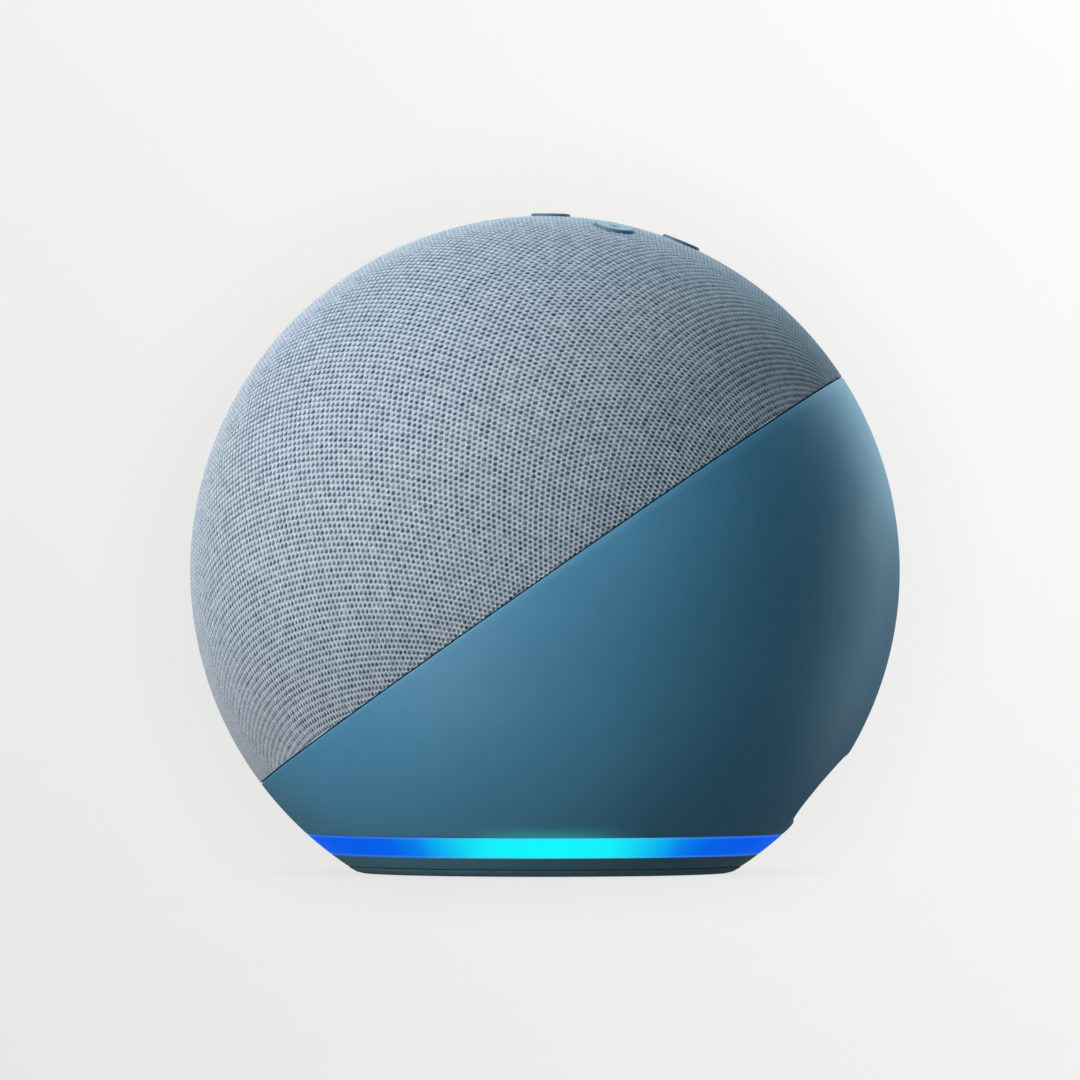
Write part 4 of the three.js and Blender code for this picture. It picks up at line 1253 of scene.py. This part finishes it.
def studio_camera():
    data = bpy.data.cameras.new("studio_camera")
    data.sensor_width = SENSOR
    data.lens = LENS
    data.clip_end = 60
    camera = bpy.data.objects.new("studio_camera", data)
    camera.location = CENTRE + level_way(VIEW_AZIMUTH) * DISTANCE
    camera.rotation_mode = "QUATERNION"
    camera.rotation_quaternion = (CENTRE + AIM - camera.location).to_track_quat("-Z", "Y")
    bpy.context.scene.collection.objects.link(camera)
    bpy.context.scene.camera = camera


def softbox(name, azimuth, height, power, colour=WHITE, size=0.8, distance=1.2):
    """A soft square light that faces the ball's centre and doesn't show itself."""
    data = bpy.data.lights.new(name, "AREA")
    data.shape = "RECTANGLE"
    data.size = data.size_y = size
    data.energy = power
    data.color = colour
    light = bpy.data.objects.new(name, data)
    turn, rise = math.radians(azimuth), math.radians(height)
    way = Vector((math.cos(rise) * math.cos(turn), -math.cos(rise) * math.sin(turn), math.sin(rise)))
    light.location = CENTRE + way * distance
    light.rotation_mode = "QUATERNION"
    light.rotation_quaternion = (-way).to_track_quat("-Z", "Y")
    light.visible_camera = False
    bpy.context.scene.collection.objects.link(light)


def towards(made, vector, azimuth):
    """How far a vector runs level towards an azimuth in degrees."""
    return made.dot(vector, level_way(azimuth))


def backdrop_tone(made, sideways, upward):
    """A pale tone that drifts darker to the lower left, with a soft shade round the ball.

    Both places are in half widths of the view from its middle.
    """
    drift = made.maths("TANH", made.maths("MULTIPLY", made.maths("ADD", sideways, upward), 1 / 6))
    level = made.maths("MULTIPLY_ADD", drift, 6 * TONE_STEP, PALE)
    height = made.maths("ADD", upward, AIM.z / DISTANCE / HALF_VIEW)
    spread = made.maths("ADD", made.maths("POWER", sideways, 2.0), made.maths("POWER", height, 2.0))
    shade = made.span(made.maths("SQRT", spread), 0.60, 0.86, HALO_SHADE, 0.0, smooth=True)
    shade = made.maths("MULTIPLY", shade, made.span(height, -0.68, -0.55, 0.0, 1.0, smooth=True))
    return made.maths("SUBTRACT", level, shade)


def pale(made, level):
    """A display tone as a very slightly warm grey."""
    grey = made.maths("POWER", level, 2.2)
    warm = made.maths("MULTIPLY", grey, 0.984)
    return made.node("ShaderNodeCombineColor", {0: grey, 1: grey, 2: warm}).outputs[0]


def pale_floor():
    """A pale floor that melts into the backdrop, with a painted shadow that makes it a little darker under the
    speaker.
    """
    material = bpy.data.materials.new("studio_floor")
    material.use_nodes = True
    made = Nodes(material.node_tree)
    place = made.place()
    radius = made.node("ShaderNodeVectorMath", {0: place}, operation="LENGTH").outputs["Value"]
    # The floor's tone drifts with distance as the backdrop's does with height, so that the two meet unseen.
    depth = made.maths("DIVIDE", towards(made, place, VIEW_AZIMUTH), -DISTANCE)
    nearness = made.maths("DIVIDE", 1.0, made.maths("MAXIMUM", made.maths("ADD", depth, 1.0), 0.3))
    across = made.maths("DIVIDE", towards(made, place, VIEW_AZIMUTH + 90), DISTANCE * HALF_VIEW)
    across = made.maths("MULTIPLY", across, nearness)
    rise = 1 / (DISTANCE * HALF_VIEW)
    upward = made.maths("MULTIPLY_ADD", nearness, -CENTRE.z * rise, -AIM.z * rise)
    # A painted shadow round the foot.
    foot = made.maths("POWER", made.span(radius, 0.030, 0.075, 1.0, 0.0), 2.0)
    shade = made.maths("MULTIPLY", foot, FOOT_SHADE)
    level = made.maths("SUBTRACT", backdrop_tone(made, across, upward), shade)
    level = made.maths("ADD", level, made.grained(0.12, 3.0, -0.001, 0.001))
    clear = made.node("ShaderNodeBsdfTransparent").outputs[0]
    shown = made.span(radius, 0.8, 2.4, 1.0, 0.0, smooth=True)
    floor = made.shaders(shown, clear, made.emission(pale(made, level)))
    made.tree.links.new(floor, made.tree.nodes["Material Output"].inputs["Surface"])
    top = -0.02 * MM
    points, faces = turned([(0, top), (0.1, top), (0.5, top), (2.5, top), (2.5, -MM), (0, -MM)], 96)
    mesh = outward_mesh("studio_floor", points, faces)
    mesh.materials.append(material)
    floor_object = bpy.data.objects.new("studio_floor", mesh)
    bpy.context.scene.collection.objects.link(floor_object)
    floor_object.visible_diffuse = False
    floor_object.visible_glossy = False
    floor_object.visible_shadow = False


def studio_world():
    """A pale backdrop with a soft shade behind the speaker, and an even light of its own."""
    world = bpy.data.worlds.new("studio")
    world.use_nodes = True
    bpy.context.scene.world = world
    made = Nodes(world.node_tree)
    made.tree.nodes.clear()
    way = made.node("ShaderNodeTexCoord").outputs["Generated"]
    height = made.split(way)[2]
    across = made.maths("DIVIDE", towards(made, way, VIEW_AZIMUTH + 90), HALF_VIEW)
    upward = made.maths("DIVIDE", made.maths("SUBTRACT", height, AIM.z / DISTANCE), HALF_VIEW)
    seen_tone = pale(made, backdrop_tone(made, across, upward))
    backdrop = made.node("ShaderNodeBackground", {0: seen_tone}).outputs[0]
    level = made.span(height, -0.6, 0.6, AMBIENT_BELOW, AMBIENT_ABOVE, smooth=True)
    ahead = made.maths("MULTIPLY", towards(made, way, VIEW_AZIMUTH), -1.0)
    level = made.maths("ADD", level, made.span(ahead, 0.1, 0.9, 0.0, BACKDROP_LIGHT, smooth=True))
    ambient = made.node("ShaderNodeBackground", {0: AMBIENT_COLOUR, 1: level}).outputs[0]
    seen = made.node("ShaderNodeLightPath").outputs["Is Camera Ray"]
    chosen = made.shaders(seen, ambient, backdrop)
    made.tree.links.new(chosen, made.node("ShaderNodeOutputWorld").inputs[0])


# ---------------------------------------------------------------- the speaker
studio_camera()
studio_world()
pale_floor()
# Azimuths run from +X towards the front, and heights up from level.
softbox("key_light", 50, 25, 6.6)
softbox("high_light", 72, 50, 7.4)
softbox("side_light", 45, -5, 2.2, FAINTLY_WARM)
softbox("front_light", 0, 25, 3.0, FAINTLY_COOL)
softbox("low_light", 34, -24, 3.2, WARM)
softbox("back_light", -170, 50, 5.6, COOL)
softbox("rim_light", -150, 22, 4.4, COOL)
softbox("low_rim_light", -125, -8, 2.6, COOL)

materials = slot_materials()
dress_frame(materials)
cover = knit_cover(knit_material())
rear_shell(shell_material())
light_ring(light_material())
base_finish = moulded("base_plastic", linear(80, 134, 160), 0.5)
glow_above(base_finish, plate_high.z, -1.0)
base_plate(base_finish.material)
rubber_foot(fibrous_material("foot_rubber", linear(82, 124, 146), 0.8, 0.2 * MM, 0.015 * MM))
thread_insert(metal_material("insert_brass", linear(205, 165, 88), 0.28, (1.0, 1.0, 5.0)))
cap_material = button_material()
mark_material = moulded("button_mark", linear(74, 122, 140), 0.55).material
for button in BUTTON_LIFT:
    button_cap(button, cap_material, mark_material)
sockets(materials["inner_plastic"], materials["zinc_steel"])

bpy.context.scene.view_settings.view_transform = "Standard"
